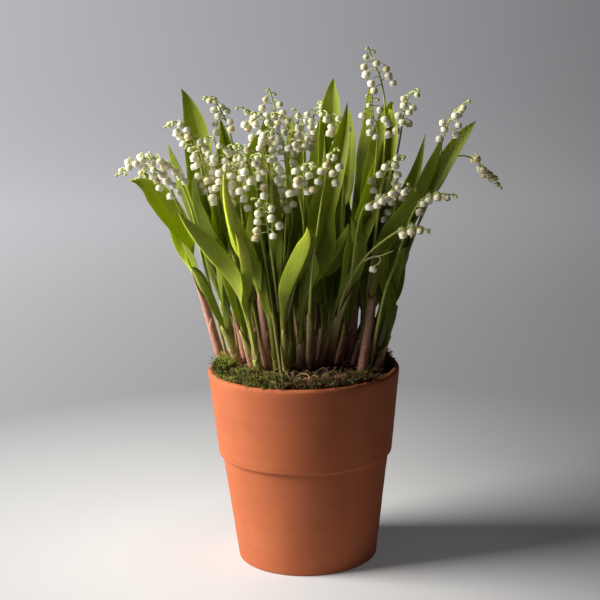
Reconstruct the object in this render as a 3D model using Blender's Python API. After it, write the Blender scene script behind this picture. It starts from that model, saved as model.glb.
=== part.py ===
"""Lily of the valley in a clay pot: pot, soil, moss and eighteen rooted shoots.

Each shoot has an outer leaf, an inner leaf and a flower stalk with hanging bells.
The origin is the centre of the pot's underside, +Z is up and -Y is the front.
Lengths in this file are in millimetres; MM turns them into metres.
"""

import math

import bmesh
import bpy
from mathutils import Vector
from mathutils.bvhtree import BVHTree

MM = 0.001
GAP = 0.3
MERGE = 0.0001
CREASE_ANGLE = 35

# Clay pot
POT_HEIGHT = 154.0
RIM_RADIUS = 75.0
RIM_INNER_RADIUS = 69.5
LIP_ROUND = 2.75
COLLAR_Z = 86.0
COLLAR_RADIUS = 68.2
COLLAR_ROUND = 0.7
COLLAR_UNDERCUT = 2.4
BODY_TOP_RADIUS = 65.5
BASE_RADIUS = 55.0
FOOT_CHAMFER = 1.5
FLOOR_THICKNESS = 7.0
FLOOR_RADIUS = 49.5
FLOOR_FILLET = 2.0
POT_SIDES = 40
DRAIN_HOLES = 3
DRAIN_RADIUS = 5.0
DRAIN_CIRCLE_RADIUS = 22.0
DRAIN_SIDES = 12
CUTTER_OVERRUN = 5.0

# Soil, a low dome inside a flat ring
SOIL_EDGE_Z = 150.0
SOIL_TOP_Z = 156.0
SOIL_FLAT_RADIUS = 50.0
SOIL_CROWN_RADIUS = 34.0
WALL_CLEARANCE = 0.35

# Planting pockets
STEM_POCKET_RADIUS = 4.5
STEM_POCKET_DEPTH = 15.0
STALK_POCKET_RADIUS = 2.0
STALK_POCKET_DEPTH = 12.0
STALK_OFFSET = 7.0
ROOTED_RADIUS = 64.0
STEM_POCKET_SIDES = 8
STALK_POCKET_SIDES = 6
COLLAR_ABOVE_SOIL = 2.0

# Leaf
STEM_WIDTH = 7.2
NECK_WIDTH = 5.6
STEM_THICKNESS = 3.1
BLADE_THICKNESS = 0.9
NECK_THICKNESS = 2.2
STEM_CROWN = 0.05
SPLIT_HALF_GAP = 0.2
LEAVING_REACH = 0.28
SHOULDER = 0.4
SECTION_POINTS = 6
CUP = 0.23
CUP_START = 0.05
CUP_END = 0.35
THICK_UNTIL = 0.35
BLADE_STATIONS = (0.08, 0.16, 0.24, 0.32, 0.4, 0.48, 0.56, 0.65, 0.74, 0.83, 0.91, 0.96)
RISE_POWER = 1.4
FALL_POWER = 1.0
TURN_START = 0.15
TURN_END = 0.6
LEAF_CLEARANCE = 0.35
SWELL_END = 0.25

# Flower stalk and bells
STALK_BASE_RADIUS = 1.35
STALK_TIP_RADIUS = 0.85
STALK_SIDES = 6
RINGS_PER_SPAN = 2
BELL_PITCH = 8.6
BELL_SPREAD = math.radians(52)
STEEP = 0.85
BELL_RADIUS = 3.7
BELL_HEIGHT = 6.6
PEDICEL_RADIUS = 0.5
PEDICEL_REACH = 6.4
PEDICEL_RISE = 1.6
CREST_SHARE = 0.55
CAP_RADIUS = 0.8
SHOULDER_DROP = 2.1
SHOULDER_SHARE = 0.95
MOUTH_SHARE = 0.85
BELL_SIDES = 6
TIP_MARGIN = 1.2
SMALLEST_BELL = 0.72
FULL_BELL_AFTER = 3

# Search for a clear place: how far a leaf tip may be swung from its first place
SWING_REACHES = (0, 3, 6, 9, 12, 16, 20, 25, 30)
SWING_DIRECTIONS = 8
SWING_TURNS = (0, -20, 20, -40, 40)
MID_SHARE = 0.55
SIDEWAYS_COST = 1.6
TURN_COST = 0.12

# Each shoot: number, place on the soil (x, y), and the top of its joined leaf stems (x, y, z)
SHOOTS = {
    1: ((-34, -28), (-41, -38, 200)),
    2: ((-26, -15), (-31, -25, 210)),
    3: ((-14, -27), (-15, -34, 197)),
    4: ((-3, -20), (-1, -26, 200)),
    5: ((13, -10), (29, -20, 212)),
    6: ((45, -18), (53, -20, 212)),
    7: ((61, 12), (68, 10, 207)),
    8: ((-44, -2), (-52, -12, 209)),
    9: ((-50, 15), (-65, 8, 213)),
    10: ((-63, 5), (-77, 0, 211)),
    11: ((-23, 6), (-25, 4, 205)),
    12: ((1, 14), (1, 18, 197)),
    13: ((23, 20), (24, 26, 197)),
    14: ((37, 4), (42, 8, 204)),
    15: ((47, 30), (56, 36, 209)),
    16: ((-36, 33), (-44, 41, 205)),
    17: ((-10, 37), (-12, 47, 200)),
    18: ((14, 48), (18, 60, 200)),
}

# Each leaf: middle of the blade, tip, widest width, and the way its upper side faces in degrees
LEAVES = {
    (1, "outer"): ((-60, -48, 240), (-89, -62, 288), 24, 60),
    (1, "inner"): ((-50, -50, 238), (-60, -64, 271), 14, 100),
    (2, "outer"): ((-45, -38, 248), (-55, -46, 315), 20, 80),
    (2, "inner"): ((-34, -30, 240), (-36, -36, 292), 15, 100),
    (3, "outer"): ((2, -46, 238), (10, -62, 275), 22, 110),
    (3, "inner"): ((-20, -34, 260), (-16, -34, 320), 13, 40),
    (4, "outer"): ((17, -28, 269), (37, -20, 361), 26, 290),
    (4, "inner"): ((21, -18, 236), (36, -22, 270), 18, 120),
    (5, "outer"): ((41, -26, 242), (37, -36, 278), 15, 100),
    (5, "inner"): ((41, -12, 269), (52, -12, 331), 19, 250),
    (6, "outer"): ((83, -8, 269), (108, -10, 334), 26, 215),
    (6, "inner"): ((74, 6, 259), (98, 10, 332), 18, 200),
    (7, "outer"): ((99, 10, 286), (133, 12, 341), 18, 205),
    (7, "inner"): ((87, 24, 259), (114, 34, 296), 20, 190),
    (8, "outer"): ((-72, -24, 263), (-76, -30, 314), 21, 320),
    (8, "inner"): ((-60, -4, 265), (-61, -2, 330), 16, 300),
    (9, "outer"): ((-74, 24, 296), (-90, 28, 370), 28, 290),
    (9, "inner"): ((-82, 6, 272), (-94, 8, 330), 22, 330),
    (10, "outer"): ((-98, -20, 275), (-127, -38, 308), 24, 310),
    (10, "inner"): ((-86, -8, 266), (-100, -14, 309), 14, 350),
    (11, "outer"): ((-33, 8, 283), (-26, 8, 338), 20, 280),
    (11, "inner"): ((-44, 18, 280), (-46, 22, 327), 16, 270),
    (12, "outer"): ((0, 20, 285), (1, 20, 345), 22, 270),
    (12, "inner"): ((10, 28, 278), (12, 38, 343), 20, 280),
    (13, "outer"): ((26, 34, 300), (29, 44, 374), 24, 265),
    (13, "inner"): ((16, 42, 280), (8, 56, 346), 20, 255),
    (14, "outer"): ((55, 12, 285), (65, 10, 358), 19, 250),
    (14, "inner"): ((62, 30, 290), (72, 42, 367), 21, 240),
    (15, "outer"): ((78, 30, 295), (90, 44, 344), 25, 240),
    (15, "inner"): ((69, 48, 298), (78, 60, 350), 22, 235),
    (16, "outer"): ((-62, 62, 252), (-80, 90, 312), 26, 300),
    (16, "inner"): ((-52, 46, 270), (-62, 52, 345), 22, 300),
    (17, "outer"): ((-16, 78, 252), (-20, 110, 300), 27, 270),
    (17, "inner"): ((-22, 56, 272), (-24, 66, 348), 23, 290),
    (18, "outer"): ((32, 86, 252), (44, 114, 308), 26, 250),
    (18, "inner"): ((34, 64, 272), (42, 78, 346), 24, 235),
}

# Each flower stalk: points it passes above the soil, number of bells, and the way the bells hang
STALKS = {
    1: (((-50, -20, 240), (-66, -24, 295), (-71, -28, 318), (-74, -33, 331), (-79, -38, 334)), 6, 250),
    2: (((-45, -24, 250), (-57, -32, 285), (-58, -37, 302), (-53, -44, 317), (-46, -52, 322)), 6, 270),
    3: (((-26, -34, 235), (-31, -42, 275), (-32, -47, 306), (-37, -54, 324), (-43, -62, 328)), 6, 280),
    4: (((7, -42, 230), (13, -50, 274), (18, -56, 304), (22, -61, 325), (29, -66, 333)), 7, 300),
    5: (((31, -30, 215), (47, -34, 244), (66, -40, 262), (80, -44, 269), (96, -50, 268)), 6, 290),
    6: (((62, -26, 213), (72, -24, 240), (83, -22, 272), (93, -22, 287), (104, -25, 291),
         (118, -28, 290)), 6, 270),
    7: (((69, 2, 205), (87, 10, 250), (104, 22, 292), (112, 26, 308), (126, 28, 313), (138, 30, 309),
         (148, 32, 300), (158, 34, 287)), 7, 300),
    8: (((-58, -6, 240), (-72, -8, 300), (-78, -11, 331), (-84, -14, 342), (-92, -20, 349),
         (-98, -24, 346)), 6, 270),
    9: (((-70, -8, 240), (-88, -30, 280), (-97, -38, 305), (-103, -44, 315), (-110, -50, 318),
         (-117, -56, 312)), 6, 290),
    10: (((-75, -6, 240), (-82, -12, 277), (-90, -16, 297), (-99, -22, 312), (-110, -28, 317),
          (-123, -34, 317), (-134, -40, 311)), 7, 270),
    11: (((-25, 10, 250), (-25, 12, 314), (-29, 10, 338), (-35, 8, 351), (-43, 6, 357)), 6, 240),
    12: (((-3, 6, 250), (-6, -4, 317), (-7, -8, 337), (-11, -13, 350), (-18, -18, 354)), 6, 270),
    13: (((32, 14, 260), (34, 2, 326), (31, -4, 342), (25, -10, 351), (17, -16, 354)), 6, 270),
    14: (((54, 14, 250), (66, 18, 315), (67, 18, 354), (64, 16, 374), (59, 13, 387),
          (54, 10, 400)), 7, 280),
    15: (((66, 34, 260), (79, 40, 321), (83, 44, 344), (87, 48, 357), (94, 53, 364)), 5, 320),
    16: (((-44, 32, 260), (-51, 32, 319), (-54, 34, 337), (-60, 38, 351), (-66, 42, 360),
          (-74, 46, 362)), 6, 250),
    17: (((-11, 31, 250), (-10, 22, 314), (-15, 22, 338), (-18, 23, 355), (-22, 24, 369)), 6, 280),
    18: (((14, 50, 250), (11, 48, 307), (11, 51, 332), (14, 55, 349), (22, 60, 356)), 5, 300),
}

# Each moss clump: middle azimuth and half sweep in degrees, radius of its middle line, width and height
MOSS_CLUMPS = {
    "moss_front_left": (233, 27, 60.0, 16.5, 11.0),
    "moss_front_right": (297, 29, 60.5, 15.0, 7.0),
    "moss_back_left": (128, 26, 61.5, 14.0, 10.0),
    "moss_back_right": (54, 13, 61.5, 13.0, 8.0),
}
MOSS_ARC_STEPS = 8
MOSS_SECTION_STEPS = 5
MOSS_END_FULLNESS = 0.15

COLOURS = {
    "terracotta": ((0.62, 0.24, 0.11), 0.85),
    "soil": ((0.05, 0.03, 0.02), 0.95),
    "moss": ((0.16, 0.20, 0.05), 0.95),
    "leaf": ((0.17, 0.30, 0.03), 0.45),
    "flower": ((0.86, 0.86, 0.72), 0.5),
}


def principled(name):
    """The material of one kind of sub-part."""
    colour, roughness = COLOURS[name]
    material = bpy.data.materials.new(name)
    material.use_nodes = True
    shader = material.node_tree.nodes["Principled BSDF"]
    shader.inputs["Base Color"].default_value = (*colour, 1.0)
    shader.inputs["Roughness"].default_value = roughness
    shader.inputs["Metallic"].default_value = 0.0
    return material


def clear_scene():
    for item in list(bpy.data.objects):
        bpy.data.objects.remove(item, do_unlink=True)


def placed(name, mesh):
    """A scene object for a mesh, shaded smooth up to the crease angle."""
    mesh.shade_smooth()
    mesh.set_sharp_from_angle(angle=math.radians(CREASE_ANGLE))
    item = bpy.data.objects.new(name, mesh)
    bpy.context.scene.collection.objects.link(item)
    return item


def add_object(name, points, faces, material):
    """A closed mesh object from points in millimetres, with its faces turned outwards."""
    mesh = bpy.data.meshes.new(name)
    mesh.from_pydata([tuple(Vector(p) * MM) for p in points], [], faces)
    shell = bmesh.new()
    shell.from_mesh(mesh)
    bmesh.ops.recalc_face_normals(shell, faces=shell.faces)
    shell.to_mesh(mesh)
    shell.free()
    if material is not None:
        mesh.materials.append(material)
    return placed(name, mesh)


def hide_cutter(item):
    item.hide_render = True
    item.display_type = "WIRE"
    return item


def add_boolean(target, operand, operation):
    modifier = target.modifiers.new(operation.lower(), "BOOLEAN")
    modifier.operation = operation
    modifier.object = operand
    modifier.solver = "EXACT"


def spun(name, profile, material):
    """A turned solid: a profile of (radius, height) that starts and ends on the axis."""
    shell = bmesh.new()
    corners = [shell.verts.new(Vector((radius, 0.0, height)) * MM) for radius, height in profile]
    edges = [shell.edges.new(pair) for pair in zip(corners, corners[1:])]
    bmesh.ops.spin(shell, geom=corners + edges, axis=(0, 0, 1), cent=(0, 0, 0), angle=2 * math.pi,
                   steps=POT_SIDES, use_merge=False)
    bmesh.ops.remove_doubles(shell, verts=shell.verts, dist=MERGE)
    bmesh.ops.recalc_face_normals(shell, faces=shell.faces)
    mesh = bpy.data.meshes.new(name)
    shell.to_mesh(mesh)
    shell.free()
    mesh.materials.append(material)
    return placed(name, mesh)


def prisms(name, holes, sides):
    """One hidden cutter of upright prisms, each given as (x, y, radius, bottom, top)."""
    points = []
    faces = []
    for x, y, radius, bottom, top in holes:
        start = len(points)
        for height in (bottom, top):
            for k in range(sides):
                angle = 2 * math.pi * k / sides
                points.append((x + radius * math.cos(angle), y + radius * math.sin(angle), height))
        faces.append(tuple(start + k for k in range(sides)))
        faces.append(tuple(start + sides + k for k in range(sides)))
        for k in range(sides):
            after = (k + 1) % sides
            faces.append((start + k, start + after, start + sides + after, start + sides + k))
    return hide_cutter(add_object(name, points, faces, None))


def lofted(rings, apex=None):
    """Points and faces of a closed skin over rings of equal length, capped or drawn to an apex."""
    count = len(rings[0])
    points = [point for ring in rings for point in ring]
    faces = [tuple(range(count))]
    for level in range(len(rings) - 1):
        low = level * count
        high = low + count
        for k in range(count):
            after = (k + 1) % count
            faces.append((low + k, low + after, high + after, high + k))
    last = (len(rings) - 1) * count
    if apex is None:
        faces.append(tuple(last + k for k in range(count)))
    else:
        points.append(apex)
        for k in range(count):
            faces.append((last + k, last + (k + 1) % count, len(points) - 1))
    return points, faces


def leaf_skin(rings, tip):
    """A skin over the sections of a leaf. Its two sides are split alike, which keeps the wall between them."""
    points, faces = lofted(rings, apex=tip)
    split = []
    for face in faces:
        if len(face) != 4:
            split.append(face)
            continue
        a, b, c, d = face
        upper_side = a % SECTION_POINTS < SECTION_POINTS // 2
        split += [(a, b, c), (a, c, d)] if upper_side else [(a, b, d), (b, c, d)]
    return points, split


def direction(degrees):
    return Vector((math.cos(math.radians(degrees)), math.sin(math.radians(degrees)), 0.0))


def azimuth(vector):
    return math.degrees(math.atan2(vector.y, vector.x))


def smooth_step(value, low, high):
    t = min(1.0, max(0.0, (value - low) / (high - low)))
    return t * t * (3 - 2 * t)


def soil_height(x, y):
    """Height of the soil's top at a place."""
    radius = math.hypot(x, y)
    if radius >= SOIL_FLAT_RADIUS:
        return SOIL_EDGE_Z
    if radius <= SOIL_CROWN_RADIUS:
        return SOIL_TOP_Z
    share = (SOIL_FLAT_RADIUS - radius) / (SOIL_FLAT_RADIUS - SOIL_CROWN_RADIUS)
    return SOIL_EDGE_Z + (SOIL_TOP_Z - SOIL_EDGE_Z) * share


def wall_radius(height):
    """Inside radius of the pot's wall."""
    low = FLOOR_THICKNESS + FLOOR_FILLET
    high = POT_HEIGHT - LIP_ROUND
    return FLOOR_RADIUS + (RIM_INNER_RADIUS - FLOOR_RADIUS) * (height - low) / (high - low)


def pot_profile():
    """Half section of the pot, from the middle of its underside round to the middle of its floor."""
    outline = [
        (0.0, 0.0),
        (BASE_RADIUS - FOOT_CHAMFER, 0.0),
        (BASE_RADIUS, FOOT_CHAMFER),
        (BODY_TOP_RADIUS, COLLAR_Z - COLLAR_UNDERCUT),
        (COLLAR_RADIUS - COLLAR_ROUND, COLLAR_Z - COLLAR_ROUND),
        (COLLAR_RADIUS, COLLAR_Z + COLLAR_ROUND),
        (RIM_RADIUS, POT_HEIGHT - LIP_ROUND),
    ]
    lip_middle = (RIM_RADIUS + RIM_INNER_RADIUS) / 2
    for angle in (math.radians(degrees) for degrees in (45, 90, 135)):
        across = math.cos(angle) * (RIM_RADIUS - RIM_INNER_RADIUS) / 2
        outline.append((lip_middle + across, POT_HEIGHT - LIP_ROUND * (1 - math.sin(angle))))
    outline += [
        (RIM_INNER_RADIUS, POT_HEIGHT - LIP_ROUND),
        (FLOOR_RADIUS, FLOOR_THICKNESS + FLOOR_FILLET),
        (FLOOR_RADIUS - FLOOR_FILLET, FLOOR_THICKNESS),
        (0.0, FLOOR_THICKNESS),
    ]
    return outline


def soil_profile():
    """Half section of the soil, which fills the pot with a small clearance."""
    low = FLOOR_THICKNESS + FLOOR_FILLET
    return [
        (0.0, FLOOR_THICKNESS + GAP),
        (FLOOR_RADIUS - FLOOR_FILLET - GAP, FLOOR_THICKNESS + GAP),
        (wall_radius(low) - WALL_CLEARANCE, low + GAP),
        (wall_radius(SOIL_EDGE_Z) - WALL_CLEARANCE, SOIL_EDGE_Z),
        (SOIL_FLAT_RADIUS, SOIL_EDGE_Z),
        (SOIL_CROWN_RADIUS, SOIL_TOP_Z),
        (0.0, SOIL_TOP_Z),
    ]


def drain_cutter():
    """Three drain holes through the pot's floor."""
    holes = []
    for k in range(DRAIN_HOLES):
        angle = math.radians(90 + 360 * k / DRAIN_HOLES)
        holes.append((DRAIN_CIRCLE_RADIUS * math.cos(angle), DRAIN_CIRCLE_RADIUS * math.sin(angle),
                      DRAIN_RADIUS, -CUTTER_OVERRUN, FLOOR_THICKNESS + CUTTER_OVERRUN))
    return prisms("drain_cutter", holes, DRAIN_SIDES)


def build_pot(material):
    pot = spun("pot", pot_profile(), material)
    add_boolean(pot, drain_cutter(), "DIFFERENCE")


def build_soil(material):
    soil = spun("soil", soil_profile(), material)
    stem_holes = []
    stalk_holes = []
    open_top = SOIL_TOP_Z + CUTTER_OVERRUN
    for number, (base, _) in SHOOTS.items():
        stem_holes.append((*base, STEM_POCKET_RADIUS, soil_height(*base) - STEM_POCKET_DEPTH, open_top))
        foot = stalk_foot(number)
        stalk_holes.append((foot.x, foot.y, STALK_POCKET_RADIUS, foot.z - STALK_POCKET_DEPTH, open_top))
    add_boolean(soil, prisms("stem_pocket_cutter", stem_holes, STEM_POCKET_SIDES), "DIFFERENCE")
    add_boolean(soil, prisms("stalk_pocket_cutter", stalk_holes, STALK_POCKET_SIDES), "DIFFERENCE")


def moss_geometry(middle, half_sweep, radius, width, height):
    """A rounded ridge of moss along an arc of the soil's flat ring, thinning to both ends."""
    rings = []
    for step in range(MOSS_ARC_STEPS + 1):
        along = 2 * step / MOSS_ARC_STEPS - 1
        angle = math.radians(middle + half_sweep * along)
        fullness = MOSS_END_FULLNESS + (1 - MOSS_END_FULLNESS) * math.sqrt(max(0.0, 1 - along * along))
        outward = Vector((math.cos(angle), math.sin(angle), 0.0))
        centre = outward * radius + Vector((0, 0, SOIL_EDGE_Z + GAP))
        ring = []
        for k in range(MOSS_SECTION_STEPS + 1):
            turn = math.pi * k / MOSS_SECTION_STEPS
            across = math.cos(turn) * width / 2 * (1 + fullness) / 2
            rise = math.sin(turn) * height * fullness
            ring.append(centre + outward * across + Vector((0, 0, rise)))
        rings.append(ring)
    return lofted(rings)


def split_direction(number):
    """The way in which a shoot's outer leaf lies from its inner leaf."""
    apart = Vector(LEAVES[(number, "outer")][0]) - Vector(LEAVES[(number, "inner")][0])
    apart.z = 0.0
    return apart.normalized()


def stalk_foot(number):
    """Where a shoot's flower stalk leaves the soil, beside the pair of leaf stems."""
    base = Vector((*SHOOTS[number][0], 0.0))
    along = split_direction(number)
    beside = Vector((-along.y, along.x, 0.0))
    first = Vector(STALKS[number][0][0])
    heading = first - Vector(SHOOTS[number][1])
    if heading.dot(beside) < 0:
        beside = -beside
    if (base + beside * STALK_OFFSET).length > ROOTED_RADIUS:
        beside = -beside
    foot = base + beside * STALK_OFFSET
    return Vector((foot.x, foot.y, soil_height(foot.x, foot.y)))


def bezier(points, t):
    a, b, c, d = points
    s = 1 - t
    return a * s ** 3 + b * 3 * s * s * t + c * 3 * s * t * t + d * t ** 3


def bezier_tangent(points, t):
    a, b, c, d = points
    s = 1 - t
    return ((b - a) * s * s + (c - b) * 2 * s * t + (d - c) * t * t).normalized()


def blade_curve(number, middle, tip):
    """A curve that leaves the neck along the stem, passes the blade's middle and ends at its tip."""
    base, neck = SHOOTS[number]
    start = Vector(neck)
    foot = Vector((*base, soil_height(*base) + COLLAR_ABOVE_SOIL))
    reach = (middle - start).length + (tip - middle).length
    second = start + (start - foot).normalized() * reach * LEAVING_REACH
    third = (middle * 8 - start - second * 3 - tip) / 3
    return start, second, third, tip


def leaf_section(centre, tangent, face, width, thickness, cup, swell):
    """Six points round a leaf: two edges, two on the upper side and two on the lower side."""
    up = (face - tangent * face.dot(tangent)).normalized()
    across = tangent.cross(up)
    half = width / 2 + swell
    ring = []
    for u, side in ((-1, 0), (-SHOULDER, 1), (SHOULDER, 1), (1, 0), (SHOULDER, -1), (-SHOULDER, -1)):
        lift = cup * u * u
        if side > 0:
            lift += swell
        if side < 0:
            lift -= thickness * math.sqrt(1 - u * u) + swell
        ring.append(centre + across * (half * u) + up * lift)
    return ring


def blade_width(widest, t):
    peak = RISE_POWER / (RISE_POWER + FALL_POWER)
    scale = peak ** RISE_POWER * (1 - peak) ** FALL_POWER
    return widest * t ** RISE_POWER * (1 - t) ** FALL_POWER / scale + NECK_WIDTH * (1 - t) ** 4


def leaf_geometry(number, which, swing=(0, 0), turn=0, clearance=0.0):
    """Points and faces of one leaf, from the bottom of its pocket to its tip."""
    middle, tip, widest, facing = LEAVES[(number, which)]
    shift = Vector((*swing, 0.0))
    middle = Vector(middle) + shift * MID_SHARE
    tip = Vector(tip) + shift
    base, neck = SHOOTS[number]
    away = split_direction(number) * (1 if which == "outer" else -1)
    ground = soil_height(*base)
    foot = Vector((*base, ground - STEM_POCKET_DEPTH + GAP))
    collar = Vector((*base, ground + COLLAR_ABOVE_SOIL))
    neck = Vector(neck)
    lean = (neck - collar).normalized()
    half_gap = away * SPLIT_HALF_GAP
    upright = Vector((0, 0, 1))
    rings = [
        leaf_section(foot + half_gap, upright, -away, STEM_WIDTH, STEM_THICKNESS, -STEM_CROWN, 0),
        leaf_section(collar + half_gap, upright, -away, STEM_WIDTH, STEM_THICKNESS, -STEM_CROWN, 0),
        leaf_section(neck + half_gap, lean, -away, NECK_WIDTH, NECK_THICKNESS, -STEM_CROWN, 0),
    ]
    curve = blade_curve(number, middle, tip)
    start_azimuth = azimuth(-away)
    twist = (facing + turn - start_azimuth + 180) % 360 - 180
    for t in BLADE_STATIONS:
        face = direction(start_azimuth + twist * smooth_step(t, TURN_START, TURN_END))
        width = blade_width(widest, t)
        thickness = NECK_THICKNESS + (BLADE_THICKNESS - NECK_THICKNESS) * smooth_step(t, 0.0, THICK_UNTIL)
        cup = width * CUP * smooth_step(t, CUP_START, CUP_END) - STEM_CROWN
        swell = clearance * smooth_step(t, 0.0, SWELL_END)
        centre = bezier(curve, t) + half_gap
        rings.append(leaf_section(centre, bezier_tangent(curve, t), face, width, thickness, cup, swell))
    return leaf_skin(rings, bezier(curve, 1.0))


def catmull_rom(points, samples):
    """A smooth path through the points, with the given number of samples in each span."""
    padded = [points[0] * 2 - points[1]] + points + [points[-1] * 2 - points[-2]]
    path = []
    for a, b, c, d in zip(padded, padded[1:], padded[2:], padded[3:]):
        for k in range(samples):
            t = k / samples
            path.append((b * 2 + (c - a) * t + (a * 2 - b * 5 + c * 4 - d) * t * t
                         + (b * 3 - a - c * 3 + d) * t ** 3) * 0.5)
    path.append(points[-1])
    return path


def tube_ring(centre, tangent, radius, sides):
    """A ring of points round a path, squared to its direction."""
    reference = Vector((0, 1, 0)) if abs(tangent.y) < 0.9 else Vector((1, 0, 0))
    first = tangent.cross(reference).normalized()
    second = tangent.cross(first)
    ring = []
    for k in range(sides):
        angle = 2 * math.pi * k / sides
        ring.append(centre + first * (radius * math.cos(angle)) + second * (radius * math.sin(angle)))
    return ring


def stalk_path(number):
    foot = stalk_foot(number)
    collar = foot + Vector((0, 0, COLLAR_ABOVE_SOIL))
    points = [collar] + [Vector(p) for p in STALKS[number][0]]
    return [foot - Vector((0, 0, STALK_POCKET_DEPTH - GAP))] + catmull_rom(points, RINGS_PER_SPAN)


def stalk_geometry(number, clearance=0.0):
    path = stalk_path(number)
    rings = []
    for k, centre in enumerate(path):
        before = path[max(0, k - 1)]
        after = path[min(len(path) - 1, k + 1)]
        tangent = (after - before).normalized()
        if k < 2:
            tangent = Vector((0, 0, 1))
        share = k / (len(path) - 1)
        radius = STALK_BASE_RADIUS + (STALK_TIP_RADIUS - STALK_BASE_RADIUS) * share
        rings.append(tube_ring(centre, tangent, radius + clearance, STALK_SIDES))
    return lofted(rings)


def point_from_tip(path, distance):
    """The place and direction on a path at a distance back from its tip."""
    for k in range(len(path) - 1, 0, -1):
        span = path[k] - path[k - 1]
        if distance <= span.length:
            return path[k] - span.normalized() * distance, span.normalized()
        distance -= span.length
    return path[0], Vector((0, 0, 1))


def bell_side(tangent, hang, side):
    """The way a bell leaves the stalk: to either hand where it rises, front and back where it arches."""
    if abs(tangent.z) > STEEP:
        sideways = Vector((-hang.y, hang.x, 0.0))
        return hang * math.cos(BELL_SPREAD) + sideways * (side * math.sin(BELL_SPREAD))
    across = Vector((-tangent.y, tangent.x, 0.0)).normalized()
    if across.dot(hang) < 0:
        across = -across
    return across * side


def bell_outlines(number, clearance=0.0):
    """One skin for each bell: its thin stem leaves the stalk, arches over and widens into the bell."""
    _, count, facing = STALKS[number]
    path = stalk_path(number)
    skins = []
    for k in range(count):
        start, tangent = point_from_tip(path, TIP_MARGIN + BELL_PITCH * k)
        out = bell_side(tangent, direction(facing), 1 if k % 2 else -1)
        size = SMALLEST_BELL + (1 - SMALLEST_BELL) * min(1.0, k / FULL_BELL_AFTER)
        down = Vector((0, 0, -1))
        crest = start + out * (PEDICEL_REACH * CREST_SHARE * size) - down * (PEDICEL_RISE * size)
        top = start + out * (PEDICEL_REACH * size)
        shoulder = top + down * (SHOULDER_DROP * size)
        mouth = top + down * (BELL_HEIGHT * size + clearance)
        rings = [
            tube_ring(start, out, PEDICEL_RADIUS, BELL_SIDES),
            tube_ring(crest, out, PEDICEL_RADIUS + clearance, BELL_SIDES),
            tube_ring(top, (out + down).normalized(), CAP_RADIUS * size + clearance, BELL_SIDES),
            tube_ring(shoulder, down, BELL_RADIUS * SHOULDER_SHARE * size + clearance, BELL_SIDES),
            tube_ring(mouth, down, BELL_RADIUS * MOUTH_SHARE * size + clearance, BELL_SIDES),
        ]
        skins.append(lofted(rings))
    return skins


def joined(skins):
    """Several closed skins as one list of points and faces."""
    points = []
    faces = []
    for skin_points, skin_faces in skins:
        start = len(points)
        points += skin_points
        faces += [tuple(start + k for k in face) for face in skin_faces]
    return points, faces


class Outline:
    """A skin kept for testing whether another one would cut it."""

    def __init__(self, points, faces):
        self.low = [min(p[k] for p in points) for k in range(3)]
        self.high = [max(p[k] for p in points) for k in range(3)]
        self.tree = BVHTree.FromPolygons([tuple(p) for p in points], faces)

    def cuts(self, other):
        for k in range(3):
            if self.low[k] > other.high[k] or other.low[k] > self.high[k]:
                return False
        return bool(self.tree.overlap(other.tree))


def swings():
    """Small changes of place and turn, with the least visible first."""
    options = set()
    for reach in SWING_REACHES:
        for k in range(SWING_DIRECTIONS):
            angle = 2 * math.pi * k / SWING_DIRECTIONS
            x = round(reach * math.cos(angle), 3) + 0.0
            y = round(reach * math.sin(angle), 3) + 0.0
            for turn in SWING_TURNS:
                options.add((SIDEWAYS_COST * abs(x) + abs(y) + TURN_COST * abs(turn), x, y, turn))
    return [option[1:] for option in sorted(options)]


def build_stalks(material):
    """Every flower stalk, with its bells united to it; returns their outlines."""
    outlines = []
    for number in STALKS:
        name = f"flower_stalk_{number:02d}"
        stalk = add_object(name, *stalk_geometry(number), material)
        bells = hide_cutter(add_object(f"bells_{number:02d}", *joined(bell_outlines(number)), material))
        add_boolean(stalk, bells, "UNION")
        outlines.append(Outline(*stalk_geometry(number, LEAF_CLEARANCE)))
        outlines.append(Outline(*joined(bell_outlines(number, LEAF_CLEARANCE))))
    return outlines


def clear_place(number, which, options, outlines):
    """The first swing and turn with which a leaf clears all that is already in place."""
    for x, y, turn in options:
        trial = Outline(*leaf_geometry(number, which, (x, y), turn, LEAF_CLEARANCE))
        if not any(trial.cuts(outline) for outline in outlines):
            return (x, y), turn
    raise ValueError(f"no clear place for leaf {number} {which}")


def build_leaves(material, outlines):
    """Every leaf, swung aside in small steps where the stalks and the leaves before it need that."""
    options = swings()
    for number, which in LEAVES:
        swing, turn = clear_place(number, which, options, outlines)
        points, faces = leaf_geometry(number, which, swing, turn)
        add_object(f"leaf_{number:02d}_{which}", points, faces, material)
        outlines.append(Outline(points, faces))


def build():
    clear_scene()
    build_pot(principled("terracotta"))
    build_soil(principled("soil"))
    moss = principled("moss")
    for name, shape in MOSS_CLUMPS.items():
        add_object(name, *moss_geometry(*shape), moss)
    outlines = build_stalks(principled("flower"))
    build_leaves(principled("leaf"), outlines)


build()
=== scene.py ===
"""The finished look of the potted lily of the valley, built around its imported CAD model.

Lengths are in millimetres, and MM turns them into the frame's metres. +Z is up and -Y is the front.
A pair that a random draw takes holds its lowest and its highest value.
"""

import math
import random

import bpy
import numpy as np
from mathutils import Matrix, Vector, noise


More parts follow.
